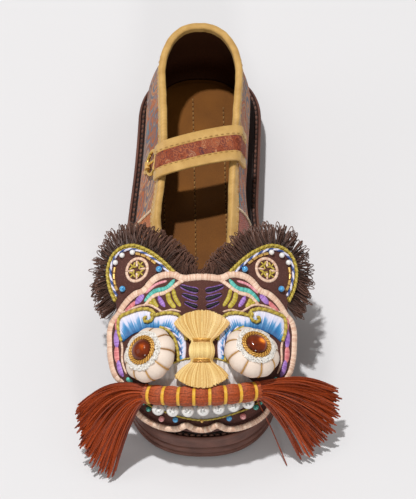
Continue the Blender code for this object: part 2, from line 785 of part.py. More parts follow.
def make_mouth():
    """Mouth: a padded thread roll, drawn in where the gold wraps hold it, and the tooth pearls."""
    wraps = (np.arange(WRAP_COUNT) - (WRAP_COUNT - 1) / 2) * WRAP_SPACING
    stations = [(-MOUTH_END, MOUTH_RADIUS)]
    for place in wraps:
        stations.append((place, MOUTH_WAIST))
        if place != wraps[-1]:
            stations.append((place + WRAP_SPACING / 3, MOUTH_RADIUS))
            stations.append((place + WRAP_SPACING * 2 / 3, MOUTH_RADIUS))
    stations.append((MOUTH_END, MOUTH_RADIUS))
    rings = np.array([mouth_ring(place, radius) for place, radius in stations])
    thread = material("mouth_thread", (0.30, 0.06, 0.02), 0.6)
    add_part("mouth_roll", loft(rings, "strip"), thread, crease=50)
    for number, place in enumerate(wraps):
        front, back = place - WRAP_WIDTH / 2, place + WRAP_WIDTH / 2
        rings = [mouth_ring(front, WRAP_INNER), mouth_ring(front, WRAP_OUTER),
                 mouth_ring(back, WRAP_OUTER), mouth_ring(back, WRAP_INNER)]
        gold = material(f"wrap_gold_{number}", (0.80, 0.50, 0.08), 0.35, 0.4)
        add_part(f"mouth_wrap_{number}", loft(np.array(rings), close_rows=True), gold)
    for number in range(TOOTH_COUNT):
        place = (number - (TOOTH_COUNT - 1) / 2) * TOOTH_SPACING
        ball = bmesh.new()
        bmesh.ops.create_uvsphere(ball, u_segments=TOOTH_SEGMENTS, v_segments=TOOTH_RINGS,
                                  radius=TOOTH_RADIUS * MM)
        mesh = bpy.data.meshes.new("pearl")
        ball.to_mesh(mesh)
        ball.free()
        pearl = add_part(f"tooth_{number}", mesh, material(f"pearl_{number}", (0.85, 0.84, 0.80), 0.2), 80)
        pearl.location = head_point(place, TOOTH_UP, TOOTH_LIFT) * MM


def make_tassels():
    """Tassels: threads fused into a ridged fan that leaves the roll's end and falls to the floor."""
    u = np.linspace(0, 1, TASSEL_STRANDS)
    ridge = np.where(np.arange(TASSEL_STRANDS) % 2 == 0, 1.0, TASSEL_GROOVE)
    length = np.where(np.arange(TASSEL_STRANDS) % 2 == 0, 1.0, TASSEL_SHORT)
    for name, tips in TASSEL_TIPS.items():
        side = math.copysign(1, tips[0].across)
        root, right, up, _ = head_frame(side * TASSEL_ROOT, MOUTH_UP, MOUTH_LIFT)
        ends = [shoe_point(*tip) for tip in tips]
        start = root + up * ((0.5 - u) * TASSEL_NECK)[:, None]
        tip = (ends[0] * ((1 - u) * (1 - 2 * u))[:, None] + ends[1] * (4 * u * (1 - u))[:, None]
               + ends[2] * (u * (2 * u - 1))[:, None])
        bend = start + right * side * TASSEL_FLARE
        v = np.linspace(0, 1, TASSEL_ROWS)[:, None] * length
        threads = (start * ((1 - v) ** 2)[..., None] + bend * (2 * v * (1 - v))[..., None]
                   + tip * (v ** 2)[..., None])
        face = unit(np.cross(np.gradient(threads, axis=0), np.gradient(threads, axis=1))) * side
        half = TASSEL_HALF_ROOT + (TASSEL_HALF_TIP - TASSEL_HALF_ROOT) * v
        half = (half * ridge * np.sqrt(1 - TASSEL_ROUNDING * (2 * u - 1) ** 2))[..., None]
        rings = np.concatenate([threads + face * half, (threads - face * half)[:, ::-1]], axis=1)
        thread = material(name + "_thread", (0.25, 0.05, 0.02), 0.65)
        add_part(name, loft(rings, "strip"), thread, crease=30)


for leftover in list(bpy.data.objects):
    bpy.data.objects.remove(leftover, do_unlink=True)
SHOE = bpy.data.collections.new("embroidered_flat_shoe")
CUTTERS = bpy.data.collections.new("cutters")
for group in (SHOE, CUTTERS):
    bpy.context.scene.collection.children.link(group)

make_outsole()
make_upper()
make_insole()
make_binding()
make_strap()
make_buckle()
make_face()
make_ears()
make_fringes()
make_brows()
make_eyes()
make_nose()
make_mouth()
make_tassels()
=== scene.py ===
"""Embroidered strap flat with a stuffed animal face on its toe: the right shoe, dressed over its solids.

Lengths are in millimetres until a mesh is written. x runs across the shoe to its big-toe side, y from
the toe to the heel and z up; from_toe is measured along the sole from its tip.
"""
import math

import bmesh
import bpy
import numpy as np
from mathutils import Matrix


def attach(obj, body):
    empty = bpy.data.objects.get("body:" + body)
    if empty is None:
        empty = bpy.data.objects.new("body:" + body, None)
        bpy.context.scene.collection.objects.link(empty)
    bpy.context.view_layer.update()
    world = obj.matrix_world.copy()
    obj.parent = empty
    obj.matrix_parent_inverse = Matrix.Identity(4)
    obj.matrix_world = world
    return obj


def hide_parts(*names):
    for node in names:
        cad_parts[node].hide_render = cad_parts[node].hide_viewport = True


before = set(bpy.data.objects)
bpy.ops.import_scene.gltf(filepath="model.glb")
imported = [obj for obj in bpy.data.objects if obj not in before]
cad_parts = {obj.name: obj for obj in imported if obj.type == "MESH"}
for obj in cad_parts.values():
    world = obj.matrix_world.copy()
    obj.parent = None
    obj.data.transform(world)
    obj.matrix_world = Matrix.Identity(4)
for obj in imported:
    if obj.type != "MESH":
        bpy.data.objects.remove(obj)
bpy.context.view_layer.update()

# Studio: a pale matt floor under a small lamp that hangs almost overhead, a little behind and to the left,
# with weaker, wider lamps behind, in front and on the left, and even light from all round.
MM = 0.001
FLOOR_HALF = 3000.0
AIM = np.array([3.4, -5.1, 26.7])
ELEVATION = math.radians(57)
DISTANCE = 1800.0
PIXELS_PER_MM = 1.733
FRAME_WIDTH = 416
SENSOR = 36.0


def ink(red, green, blue):
    """Colour as printed (0 to 255) turned to linear light: the power 2.4 of the screen curve."""
    shares = np.array([red, green, blue]) / 255
    linear = np.where(shares < 0.04045, shares / 12.92, ((shares + 0.055) / 1.055) ** 2.4)
    return (*linear.tolist(), 1.0)


def hang_lamp(name, place, width, watts):
    """Square lamp at a place around the shoe, turned to face its middle."""
    lamp = bpy.data.objects.new(name, bpy.data.lights.new(name, "AREA"))
    lamp.data.size = width * MM
    lamp.data.energy = watts
    bpy.context.scene.collection.objects.link(lamp)
    lamp.location = np.array(place) * MM
    lamp.rotation_euler = (-lamp.location).to_track_quat("-Z", "Y").to_euler()


hang_lamp("key_lamp", (-720, 380, 4880), 180, 180.0)
hang_lamp("back_lamp", (-980, 1700, 4600), 900, 9.0)
hang_lamp("front_lamp", (300, -3800, 1900), 700, 34.0)
hang_lamp("side_lamp", (-3400, -400, 1800), 1800, 8.0)
room = bpy.data.worlds.new("room")
room.use_nodes = True
room.node_tree.nodes["Background"].inputs["Color"].default_value = ink(255, 253, 251)
room.node_tree.nodes["Background"].inputs["Strength"].default_value = 0.3
bpy.context.scene.world = room
bpy.context.scene.view_settings.view_transform = "Standard"

corners = np.array([(-1, -1, 0), (1, -1, 0), (1, 1, 0), (-1, 1, 0)]) * FLOOR_HALF * MM
floor_mesh = bpy.data.meshes.new("floor")
floor_mesh.from_pydata(corners.tolist(), [], [(0, 1, 2, 3)])
floor = bpy.data.objects.new("floor", floor_mesh)
bpy.context.scene.collection.objects.link(floor)
paper = bpy.data.materials.new("pale_paper")
paper.use_nodes = True
paper.node_tree.nodes["Principled BSDF"].inputs["Base Color"].default_value = ink(222, 221, 222)
paper.node_tree.nodes["Principled BSDF"].inputs["Roughness"].default_value = 0.9
floor_mesh.materials.append(paper)

camera = bpy.data.objects.new("camera", bpy.data.cameras.new("camera"))
camera.data.sensor_fit = "HORIZONTAL"
camera.data.sensor_width = SENSOR
camera.data.lens = PIXELS_PER_MM * DISTANCE * SENSOR / FRAME_WIDTH
camera.location = (AIM + DISTANCE * np.array([0, -math.cos(ELEVATION), math.sin(ELEVATION)])) * MM
camera.rotation_euler = (math.pi / 2 - ELEVATION, 0, 0)
bpy.context.scene.collection.objects.link(camera)
bpy.context.scene.camera = camera

# Outsole: one moulded block of brown rubber with a sprung toe and a low arch, two grooves round its
# side, a sunk channel in its rim with a row of thick stitches, and a ribbed tread.
SOLE_LENGTH = 255.0
SOLE_HEIGHT = 22.0
BLUNTNESS = 2.3
TOE_SPRING = 2.5
SPRING_START = 58.0
ARCH_RISE = 3.0
ARCH_FRONT = 138.0
ARCH_BACK = 192.0
TOE_DRAWN = 1.8
TOE_DRAWN_OVER = 26.0
SOLE_WIDTHS = np.array([
    # from_toe, middle, half width
    (0, 0.0, 42.5), (45, -0.2, 43.8), (85, -1.5, 45.0), (115, -4.2, 41.8),
    (150, -5.0, 38.0), (180, -3.2, 37.0), (214, -1.6, 36.6), (255, -1.2, 36.0),
])
SOLE_SHAPE = (SOLE_WIDTHS, 0.0, SOLE_LENGTH, 44.0, 37.0)
SOLE_SIDE = (
    # inset, height
    (1.6, 0.0), (0.3, 1.2), (0.0, 4.4), (1.1, 5.0), (1.1, 5.6), (0.0, 6.2), (0.0, 10.2), (1.1, 10.8),
    (1.1, 11.4), (0.0, 12.0), (0.0, 20.9), (0.9, 22.0), (1.5, 22.0), (1.8, 20.9), (3.9, 20.9), (4.2, 22.0),
)
SOLE_TURNS = np.arange(380) / 190
RIM_SHADE_ABOVE = 15.0
TREAD_ACROSS = 34
TREAD_PITCH = 7.0
TREAD_DEPTH = 1.0
TREAD_SHARE = 0.84
TREAD_HALF_LENGTH = 114.0
CHANNEL_INSET = 2.85
CHANNEL_HEIGHT = 20.9
WELT_STITCH = (2.6, 0.9, 0.7)
UPRIGHT = np.array([0.0, 0.0, 1.0])
WELD_GAP = 0.004
CREASE = math.radians(60)


def smooth(x, knots, values):
    """Curve through values at knots: cubic pieces that share their slopes."""
    x = np.clip(x, knots[0], knots[-1])
    slopes = np.gradient(values, knots)
    i = np.clip(np.searchsorted(knots, x, side="right") - 1, 0, len(knots) - 2)
    span = knots[i + 1] - knots[i]
    u = (x - knots[i]) / span
    start = (1 + 2 * u) * (1 - u) ** 2 * values[i] + u * (1 - u) ** 2 * span * slopes[i]
    end = u * u * (3 - 2 * u) * values[i + 1] + u * u * (u - 1) * span * slopes[i + 1]
    return start + end


def unit(vectors):
    """Vectors divided by their lengths."""
    return vectors / np.maximum(np.linalg.norm(vectors, axis=-1, keepdims=True), 1e-9)


def plan_point(turn, table, front, back, front_round, back_round):
    """Outline from above, middle plus or minus half width, rounded off at both ends by a superellipse.

    turn 0 is the front tip, 0 to 1 the medial side and 1 to 2 the lateral side.
    """
    turn = np.mod(turn, 2.0)
    side = np.where(turn <= 1.0, 1.0, -1.0)
    along = front + (back - front) * (1 - np.cos(math.pi * turn)) / 2
    ends = np.clip(np.stack([(along - front) / front_round, (back - along) / back_round]), 0, 1)
    rounding = np.prod((1 - (1 - ends) ** BLUNTNESS) ** (1 / BLUNTNESS), axis=0)
    middle = smooth(along, table[:, 0], table[:, 1])
    return np.stack([middle + side * rounding * smooth(along, table[:, 0], table[:, 2]), along], axis=-1)


def sole_plan(turn, inset):
    """The sole's outline moved inwards by an inset, square to itself."""
    nudge = 0.01
    tangent = plan_point(turn + nudge, *SOLE_SHAPE) - plan_point(turn - nudge, *SOLE_SHAPE)
    outward = unit(np.stack([tangent[..., 1], -tangent[..., 0]], axis=-1))
    return plan_point(turn, *SOLE_SHAPE) - outward * np.asarray(inset)[..., None], outward


def toe_lift(from_toe):
    """Toe spring: grows with the square of the distance ahead of its start."""
    return TOE_SPRING * np.clip(1 - from_toe / SPRING_START, 0, 1) ** 2


def shoe_point(across, from_toe, height):
    """x, y and z of a point given across, along and above the shoe.

    The toe is drawn forward, by an amount that falls off as a bell curve with the distance from the tip.
    """
    forward = TOE_DRAWN * np.exp(-(np.asarray(from_toe) / TOE_DRAWN_OVER) ** 2)
    return np.stack(np.broadcast_arrays(across, from_toe - SOLE_LENGTH / 2 - forward, height), axis=-1)


def run_along(path):
    """Distance along a path at each of its points: the sum of the steps before it."""
    return np.concatenate([[0.0], np.cumsum(np.linalg.norm(np.diff(path, axis=0), axis=1))])


def rounded(profile, spacing, radius):
    """Profile with rounded corners: even steps along it, each the mean of its neighbours within a radius."""
    profile = np.array(profile, float)
    run = run_along(profile)
    steps = np.arange(0, run[-1] + spacing / 2, spacing)
    points = np.stack([np.interp(steps, run, column) for column in profile.T], axis=-1)
    reach = max(1, round(radius / spacing))
    sums = np.cumsum(np.pad(points, ((reach + 1, reach), (0, 0)), mode="edge"), axis=0)
    return (sums[2 * reach + 1:] - sums[:-2 * reach - 1]) / (2 * reach + 1)


def across_ring(ring, steps):
    """Flat of a closed ring: straight lines between its points and their opposites."""
    half = len(ring) // 2 + 1
    share = np.linspace(0, 1, steps)[:, None]
    return ring[:half, None] * (1 - share) + ring[-np.arange(half), None] * share


def skin(name, finish, grids, around=True, loop=False, weld=False, **layers):
    """Mesh over grids of points, each rows by columns or a batch of such grids, faces between neighbours.

    around joins the last column to the first and caps the end rows, loop joins the last row to the first,
    weld merges points that fall together. layers are named values for each point, kept as attributes.
    """
    grids = [np.asarray(grid, float).reshape((-1,) + grid.shape[-3:]) for grid in grids]
    quads, caps, base = [], [], 0
    for grid in grids:
        count, rows, columns = grid.shape[:3]
        index = base + np.arange(count * rows * columns).reshape(count, rows, columns)
        base += index.size
        right = np.roll(index, -1, axis=2) if around else index[:, :, 1:]
        left = index if around else index[:, :, :-1]
        if not loop:
            faces = np.stack([left[:, :-1], right[:, :-1], right[:, 1:], left[:, 1:]], axis=-1)
        else:
            faces = np.stack([left, right, np.roll(right, -1, axis=1), np.roll(left, -1, axis=1)], axis=-1)
        quads.append(faces.reshape(-1, 4))
        if around and not loop:
            caps += [index[:, 0, ::-1], index[:, -1]]
    blocks = quads + caps
    points = np.concatenate([grid.reshape(-1, 3) for grid in grids]) * MM
    sizes = np.concatenate([np.full(len(block), block.shape[1]) for block in blocks])
    mesh = bpy.data.meshes.new(name)
    mesh.vertices.add(len(points))
    mesh.vertices.foreach_set("co", points.ravel())
    mesh.loops.add(int(sizes.sum()))
    mesh.loops.foreach_set("vertex_index", np.concatenate([block.ravel() for block in blocks]))
    mesh.polygons.add(len(sizes))
    mesh.polygons.foreach_set("loop_start", np.cumsum(sizes) - sizes)
    mesh.update(calc_edges=True)
    for layer, values in layers.items():
        spread = [np.broadcast_to(value, grid.shape[:3]).ravel() for value, grid in zip(values, grids)]
        mesh.attributes.new(layer, "FLOAT", "POINT").data.foreach_set("value", np.concatenate(spread))
    work = bmesh.new()
    work.from_mesh(mesh)
    if weld:
        bmesh.ops.remove_doubles(work, verts=work.verts, dist=WELD_GAP * MM)
    bmesh.ops.recalc_face_normals(work, faces=work.faces)
    work.to_mesh(mesh)
    work.free()
    mesh.materials.append(finish)
    mesh.shade_smooth()
    mesh.set_sharp_from_angle(angle=CREASE)
    piece = bpy.data.objects.new(name, mesh)
    bpy.context.scene.collection.objects.link(piece)
    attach(piece, "root")
    return piece


class Shade:
    """A value, colour or vector in a material's nodes; arithmetic on it adds Math nodes."""

    def __init__(self, tree, socket):
        self.tree = tree
        self.socket = socket

    def node(self, kind, inputs, output=0, stops=(), **settings):
        """A node of a kind: its settings first, then the values or links of its sockets."""
        made = self.tree.nodes.new(kind)
        for setting, value in settings.items():
            setattr(made, setting, value)
        for stop, (place, colour) in enumerate(stops):
            if stop >= len(made.color_ramp.elements):
                made.color_ramp.elements.new(place)
            made.color_ramp.elements[stop].position = place
            made.color_ramp.elements[stop].color = colour
        for socket, value in inputs.items():
            if isinstance(value, Shade):
                self.tree.links.new(value.socket, made.inputs[socket])
            else:
                made.inputs[socket].default_value = value
        return Shade(self.tree, made.outputs[output])

    def ramp(self, stops):
        """Colour along a ramp of stops, each a place and its colour."""
        return self.node("ShaderNodeValToRGB", {0: self}, stops=stops)

    def maths(self, operation, first, second=0.0):
        """A Math node on two values."""
        return self.node("ShaderNodeMath", {0: first, 1: second}, operation=operation)

    def __add__(self, other):
        return self.maths("ADD", self, other)

    def __sub__(self, other):
        return self.maths("SUBTRACT", self, other)

    def __rsub__(self, other):
        return self.maths("SUBTRACT", other, self)

    def __mul__(self, other):
        return self.maths("MULTIPLY", self, other)

    def __gt__(self, other):
        return self.maths("GREATER_THAN", self, other)

    __radd__ = __add__
    __rmul__ = __mul__

    def wave(self, pitch):
        """0 to 1 and back once every pitch of this value: half of one plus its sine."""
        return self.maths("SINE", self * (2 * math.pi / pitch)) * 0.5 + 0.5

    def layer(self, name):
        """One of the piece's own values, by its attribute's name."""
        return self.node("ShaderNodeAttribute", {}, "Fac", attribute_name=name)

    def cloud(self, size, detail=2.0, stretch=(1, 1, 1)):
        """Soft noise with spots of about a size in millimetres, with this as its place."""
        scaled = self.node("ShaderNodeVectorMath", {0: self, 1: stretch}, operation="MULTIPLY")
        return self.node("ShaderNodeTexNoise", {"Vector": scaled, "Scale": 1 / (size * MM), "Detail": detail})

    def steps(self, low, high):
        """This value from 0 at low to 1 at high, held outside them."""
        return self.node("ShaderNodeMapRange", {"Value": self, "From Min": low, "From Max": high})

    def mix(self, first, second):
        """Colour between two colours, this value being the share of the second."""
        return self.node("ShaderNodeMix", {0: self, 6: first, 7: second}, 2, data_type="RGBA")

    def bump(self, depth):
        """Surface relief of a depth in millimetres."""
        return self.node("ShaderNodeBump", {"Height": self, "Distance": depth * MM})


def surface(name, **steady):
    """Principled material with its steady values set; gives it, and its place in Object coordinates."""
    made = bpy.data.materials.new(name)
    made.use_nodes = True
    shader = made.node_tree.nodes["Principled BSDF"]
    for socket, value in steady.items():
        shader.inputs[socket.replace("_", " ")].default_value = value
    place = made.node_tree.nodes.new("ShaderNodeTexCoord").outputs["Object"]
    return made, Shade(made.node_tree, place)


def vary(material, **sockets):
    """Link what changes over the surface to the material's shader."""
    shader = material.node_tree.nodes["Principled BSDF"]
    for socket, value in sockets.items():
        material.node_tree.links.new(value.socket, shader.inputs[socket.replace("_", " ")])


rubber, place = surface("sole_rubber", Specular_IOR_Level=0.35)
mottle = place.cloud(9.0, 4.0, (1, 0.35, 2))
grain = place.cloud(0.7, 3.0)
plain = mottle.steps(0.3, 0.7).mix(ink(84, 50, 40), ink(116, 74, 60))
# The rim's channel and its top next to the upper are painted near-black: painted shade under the upper and
# the face's lip.
vary(rubber, Base_Color=place.layer("inked").mix(plain, ink(34, 18, 13)),
     Roughness=0.42 + 0.25 * grain, Normal=(grain + 0.6 * mottle).bump(0.16))

side_inset, side_height = rounded(SOLE_SIDE, 0.45, 0.45).T[..., None]
plan, _ = sole_plan(SOLE_TURNS, side_inset)
from_toe = plan[..., 1]
arch = ARCH_RISE * np.sin(math.pi * np.clip((from_toe - ARCH_FRONT) / (ARCH_BACK - ARCH_FRONT), 0, 1)) ** 2
lift = side_height + toe_lift(from_toe) + arch * (1 - side_height / SOLE_HEIGHT)
side_grid = shoe_point(plan[..., 0], from_toe, lift)
tread = across_ring(side_grid[0], TREAD_ACROSS)
ribbed = np.abs(np.linspace(-1, 1, TREAD_ACROSS)) < TREAD_SHARE
rib = np.clip(3 * np.sin(2 * math.pi * (tread[..., 1] + 0.35 * np.abs(tread[..., 0])) / TREAD_PITCH), 0, 1)
tread[..., 2] += TREAD_DEPTH * rib * ribbed * (np.abs(tread[..., 1] + 2) < TREAD_HALF_LENGTH)
ring_skin = np.concatenate([side_grid, side_grid[:, :1]], axis=1)
# Where the painted shade lies: inside the rim's edge, high on the sole.
inked = np.clip((side_inset - 1.2) / 0.8, 0, 1) * (side_height > RIM_SHADE_ABOVE)
outsole = skin("outsole", rubber, [ring_skin, tread, across_ring(side_grid[-1], 3)], around=False, weld=True,
               inked=[inked, 0.0, 1.0])
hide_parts("outsole")


def ring_turns(count):
    """Even turns round a ring."""
    return np.arange(count) * 2 * math.pi / count


def tube(path, out, wide, high, sides, lobes=0, depth=0.0, turn=0.0):
    """Thread, cord or satin pad along paths: rings of wide cos side plus high sin out around each point.

    lobes swell the ring by depth cos(lobes angle minus turn), and turn may grow along the path as a twist.
    """
    heading = unit(np.gradient(path, axis=-2))
    side = unit(np.cross(heading, out))
    out = np.cross(side, heading)
    angle = ring_turns(sides)
    swell = 1 + depth * np.cos(lobes * angle - np.asarray(turn)[..., None])
    wide = (np.asarray(wide)[..., None] * swell * np.cos(angle))[..., None]
    high = (np.asarray(high)[..., None] * swell * np.sin(angle))[..., None]
    return path[..., None, :] + wide * side[..., None, :] + high * out[..., None, :]


def along(path, places):
    """Rows of numbers kept along a path, read at shares of the way along it; gives its length too.

    The way is measured along the first three columns.
    """
    run = run_along(path[:, :3])
    at = np.asarray(places) * run[-1]
    return np.stack([np.interp(at, run, column) for column in path.T], axis=-1), run[-1]


def stitches(path, out, length, gap, radius):
    """Row of stitches along a path: each a short thread that rises from the ground and goes back into it.

    Its height is radius (0.9 - 1.7 s squared), with s from -1 to 1 along it.
    """
    line = np.concatenate([path, np.broadcast_to(out, path.shape)], axis=1)
    total = along(line, 0.0)[1]
    count = round(total / (length + gap))
    s = np.linspace(-1, 1, 5)
    places = ((np.arange(count) + 0.5) / count)[:, None] + s * length / 2 / total
    laid = along(line, places)[0]
    up = unit(laid[..., 3:])
    slim = radius * np.sqrt(1 - 0.75 * s ** 4)
    return tube(laid[..., :3] + up * (radius * (0.9 - 1.7 * s ** 2))[:, None], up, slim, slim, 5)


def thread_finish(name, dark, light, roughness=0.5, sheen=0.06, fleck=0.5):
    """Spun thread: each thread its own tone between dark and light, with finer flecks along it."""
    made, spot = surface(name, Roughness=roughness, Sheen_Weight=sheen, Specular_IOR_Level=0.4)
    tone = spot.layer("tint") * (1 - fleck) + spot.cloud(0.8, 2.0).steps(0.3, 0.7) * fleck
    vary(made, Base_Color=tone.mix(dark, light), Normal=spot.cloud(0.35, 1.0).bump(0.08))
    return made


def shuffled(count, seed):
    """Even tones from 0 to 1 in a mixed order that is the same each run."""
    return np.random.default_rng(seed).permutation(np.linspace(0, 1, count))


def toned(threads, seed):
    """A batch of threads with their tones, an even mix with one for each thread."""
    return threads, shuffled(len(threads), seed)[:, None, None]


def sew(name, finish, works):
    """One piece of needlework from its separate runs, each a grid with its tones."""
    grids, tones = zip(*works)
    skin(name, finish, grids, tint=tones)


channel_plan, _ = sole_plan(np.append(SOLE_TURNS, 2.0), CHANNEL_INSET)
channel = shoe_point(channel_plan[:, 0], channel_plan[:, 1], CHANNEL_HEIGHT + toe_lift(channel_plan[:, 1]))
welt_thread = thread_finish("welt_thread", ink(66, 38, 30), ink(132, 92, 76))
sew("sole_stitches", welt_thread, [toned(stitches(channel, UPRIGHT, *WELT_STITCH), 1)])

# Insole: a sheet of tan leather lying on the sole inside the upper, softly hollowed under the foot, with
# three rows of light tan stitches along it and, between one stitch and the next, a short dark thread that is
# painted shade standing for the needle hole.
RIM = 6.8
MEDIAL_RIM = 1.6
WALL = 2.0
INSOLE_INSET = RIM + WALL + 0.6
INSOLE_THICK = 2.6
INSOLE_BASE = SOLE_HEIGHT + 0.3
INSOLE_HOLLOW = 0.7
INSOLE_EDGE = ((0.0, 0.0), (0.0, 2.0), (0.9, 2.6), (2.6, 2.6))
INSOLE_ROWS = (-18.0, 0.0, 18.0)
ROW_FRONT = 30.0
ROW_BACK = 232.0
ROW_LEAN = np.array([
    # from_toe, across
    (28, -3.0), (120, -3.6), (230, -5.6),
])
ROW_STITCH = (1.7, 1.6, 0.55)
PINHOLE = (0.8, 2.5, 0.36)
PINHOLE_SHIFT = (0.0, -1.65, -0.2)


def medial_share(turn):
    """How far a turn round the shoe is on its medial side: a half wave from toe to heel, else nothing."""
    return np.clip(np.sin(math.pi * turn), 0, 1)


def insole_top(across, from_toe):
    """Height of the insole: its thickness less a hollow that falls with the square of the way out."""
    middle = smooth(from_toe, SOLE_WIDTHS[:, 0], SOLE_WIDTHS[:, 1])
    half = smooth(from_toe, SOLE_WIDTHS[:, 0], SOLE_WIDTHS[:, 2]) - INSOLE_INSET
    hollow = INSOLE_HOLLOW * np.clip(1 - ((across - middle) / half) ** 2, 0, 1)
    return INSOLE_BASE + toe_lift(from_toe) + INSOLE_THICK - hollow


tan_leather, place = surface("insole_leather", Specular_IOR_Level=0.2)
grain = place.cloud(0.55, 4.0)
stain = place.cloud(22.0, 3.0)
tone = (0.6 * stain + 0.4 * grain).steps(0.3, 0.7)
vary(tan_leather, Base_Color=tone.mix(ink(102, 59, 14), ink(136, 84, 28)),
     Roughness=0.5 + 0.2 * stain, Normal=grain.bump(0.12))
edge_inset, edge_lift = rounded(INSOLE_EDGE, 0.3, 0.4).T[..., None]
plan, _ = sole_plan(SOLE_TURNS, INSOLE_INSET + edge_inset + MEDIAL_RIM * medial_share(SOLE_TURNS))
rim_grid = shoe_point(plan[..., 0], plan[..., 1], INSOLE_BASE + toe_lift(plan[..., 1]) + edge_lift)
bed = across_ring(rim_grid[-1], 28)
bed[..., 2] = np.minimum(bed[..., 2], insole_top(bed[..., 0], bed[..., 1] + SOLE_LENGTH / 2))
rim_grid = np.concatenate([rim_grid, rim_grid[:, :1]], axis=1)
insole = skin("insole", tan_leather, [rim_grid, bed, across_ring(rim_grid[0, :-1], 3)],
              around=False, weld=True)
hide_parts("insole")

seams, hole_shades = [], []
for offset in INSOLE_ROWS:
    row_along = np.linspace(ROW_FRONT, ROW_BACK - 0.02 * offset ** 2, 200)
    row_across = smooth(row_along, ROW_LEAN[:, 0], ROW_LEAN[:, 1]) + offset
    line = shoe_point(row_across, row_along, insole_top(row_across, row_along))
    seams.append(toned(stitches(line, UPRIGHT, *ROW_STITCH), 2))
    # Short dark threads between the stitches: painted shade of the needle holes.
    hole_shades.append((stitches(line + PINHOLE_SHIFT, UPRIGHT, *PINHOLE), 0.5))
insole_thread = thread_finish("insole_thread", ink(132, 90, 42), ink(176, 132, 72))
sew("insole_stitches", insole_thread, seams)
hole_shade_finish = thread_finish("insole_hole_shade", ink(66, 38, 14), ink(84, 50, 20), 0.9)
sew("insole_hole_shades", hole_shade_finish, hole_shades)

# Upper: one hollow of brocade from the rim of the sole up to throat and collar, its front part of a
# plainer cloth, lighter orange on the lateral side and darker rose on the medial side, joined by a seam
# with cream piping, lined with dark brown cotton.
TOPLINE = np.array([
    # from_toe, middle, half width, height
    (77, -2.6, 17.4, 64.5), (100, -3.6, 19.4, 62.5), (122, -4.5, 21.6, 62.0), (150, -2.7, 21.0, 63.5),
    (192, -1.2, 22.2, 70.0), (219, -1.0, 23.8, 75.5), (244, -1.5, 24.0, 80.0),
])
THROAT_FRONT = 77.0
COLLAR_BACK = 244.0
TOP_SHAPE = (TOPLINE, THROAT_FRONT, COLLAR_BACK, 34.0, 37.0)
UPPER_WALL = np.array([
    # from_toe, rise and dip as shares of the height, reach as a share of the lean, bulge
    (8, 0.78, 0.54, 0.03, 0.0), (35, 0.71, 0.45, 0.07, 0.8), (70, 0.64, 0.32, 0.14, 1.5),
    (120, 0.52, 0.30, 0.28, 4.0), (190, 0.48, 0.28, 0.32, 5.0), (247, 0.42, 0.20, 0.40, 6.0),
])
UPPER_TURNS = np.arange(300) / 150
UPPER_ROWS = np.linspace(0, 1, 41)[:, None]
MEDIAL_BULGE = 0.7
VAMP_SEAM = 129.0
PIPING = 0.85
LINING_BACK = 0.16
LINING_FACE = 0.5
NUDGE = 0.004


def upper_point(turn, up):
    """Outer face of the upper: a cubic curve from the sole to the topline through two control points.

    The lower control stands over the foot of the wall, the higher one leans in towards the topline.
    """
    medial = medial_share(turn)
    foot_plan, outward = sole_plan(turn, RIM + MEDIAL_RIM * medial)
    top_plan = plan_point(turn, *TOP_SHAPE)
    from_toe = foot_plan[..., 1]
    foot = shoe_point(foot_plan[..., 0], from_toe, INSOLE_BASE + toe_lift(from_toe))
    top_height = smooth(top_plan[..., 1], TOPLINE[:, 0], TOPLINE[:, 3])
    top = shoe_point(top_plan[..., 0], top_plan[..., 1], top_height)
    tall = (top - foot)[..., 2]
    rise, reach, dip, bulge = [smooth(from_toe, UPPER_WALL[:, 0], column) for column in UPPER_WALL.T[1:]]
    low = foot.copy()
    low[..., :2] += outward * (bulge * (1 - (1 - MEDIAL_BULGE) * medial))[..., None]
    low[..., 2] += rise * tall
    high = top.copy()
    high[..., :2] += (foot - top)[..., :2] * reach[..., None]
    high[..., 2] -= dip * tall
    up = np.asarray(up)[..., None]
    return foot * (1 - up) ** 3 + low * 3 * up * (1 - up) ** 2 + high * 3 * up ** 2 * (1 - up) + top * up ** 3


def upper_frame(turn, up):
    """Point on the upper with its directions outwards, up the wall and along it, from small steps."""
    point = upper_point(turn, up)
    run = unit(upper_point(turn + NUDGE, up) - upper_point(turn - NUDGE, up))
    outward = unit(np.cross(run, point - upper_point(turn, up - NUDGE)))
    return point, outward, np.cross(outward, run), run


def side_point(turn, drop, lift):
    """Point over the upper's outside with its directions: drop below the topline, square to it, and lift."""
    turn, drop = np.broadcast_arrays(np.asarray(turn, float), np.asarray(drop, float))
    top = np.ones_like(turn)
    per_turn = (upper_point(turn + NUDGE, top) - upper_point(turn - NUDGE, top)) / (2 * NUDGE)
    per_share = (upper_point(turn, top) - upper_point(turn, top - NUDGE)) / NUDGE
    drift = np.sum(per_share * per_turn, axis=-1) / np.sum(per_turn ** 2, axis=-1)
    share = np.maximum(drop, 0) / np.linalg.norm(per_share - per_turn * drift[..., None], axis=-1)
    point, outward, climb, run = upper_frame(turn + drift * share, top - share)
    over = climb * np.maximum(-drop, 0)[..., None]
    return point + outward * np.asarray(lift)[..., None] + over, outward, climb, run


def weave(spot, across_name, along_name, snap):
    """Place on woven cloth: a piece's two cloth distances, stepped thread by thread."""
    ways = {0: spot.layer(across_name) * MM, 1: spot.layer(along_name) * MM}
    flat = spot.node("ShaderNodeCombineXYZ", ways)
    return spot.node("ShaderNodeVectorMath", {0: flat, 1: (snap * MM, snap * MM, 1)}, operation="SNAP")


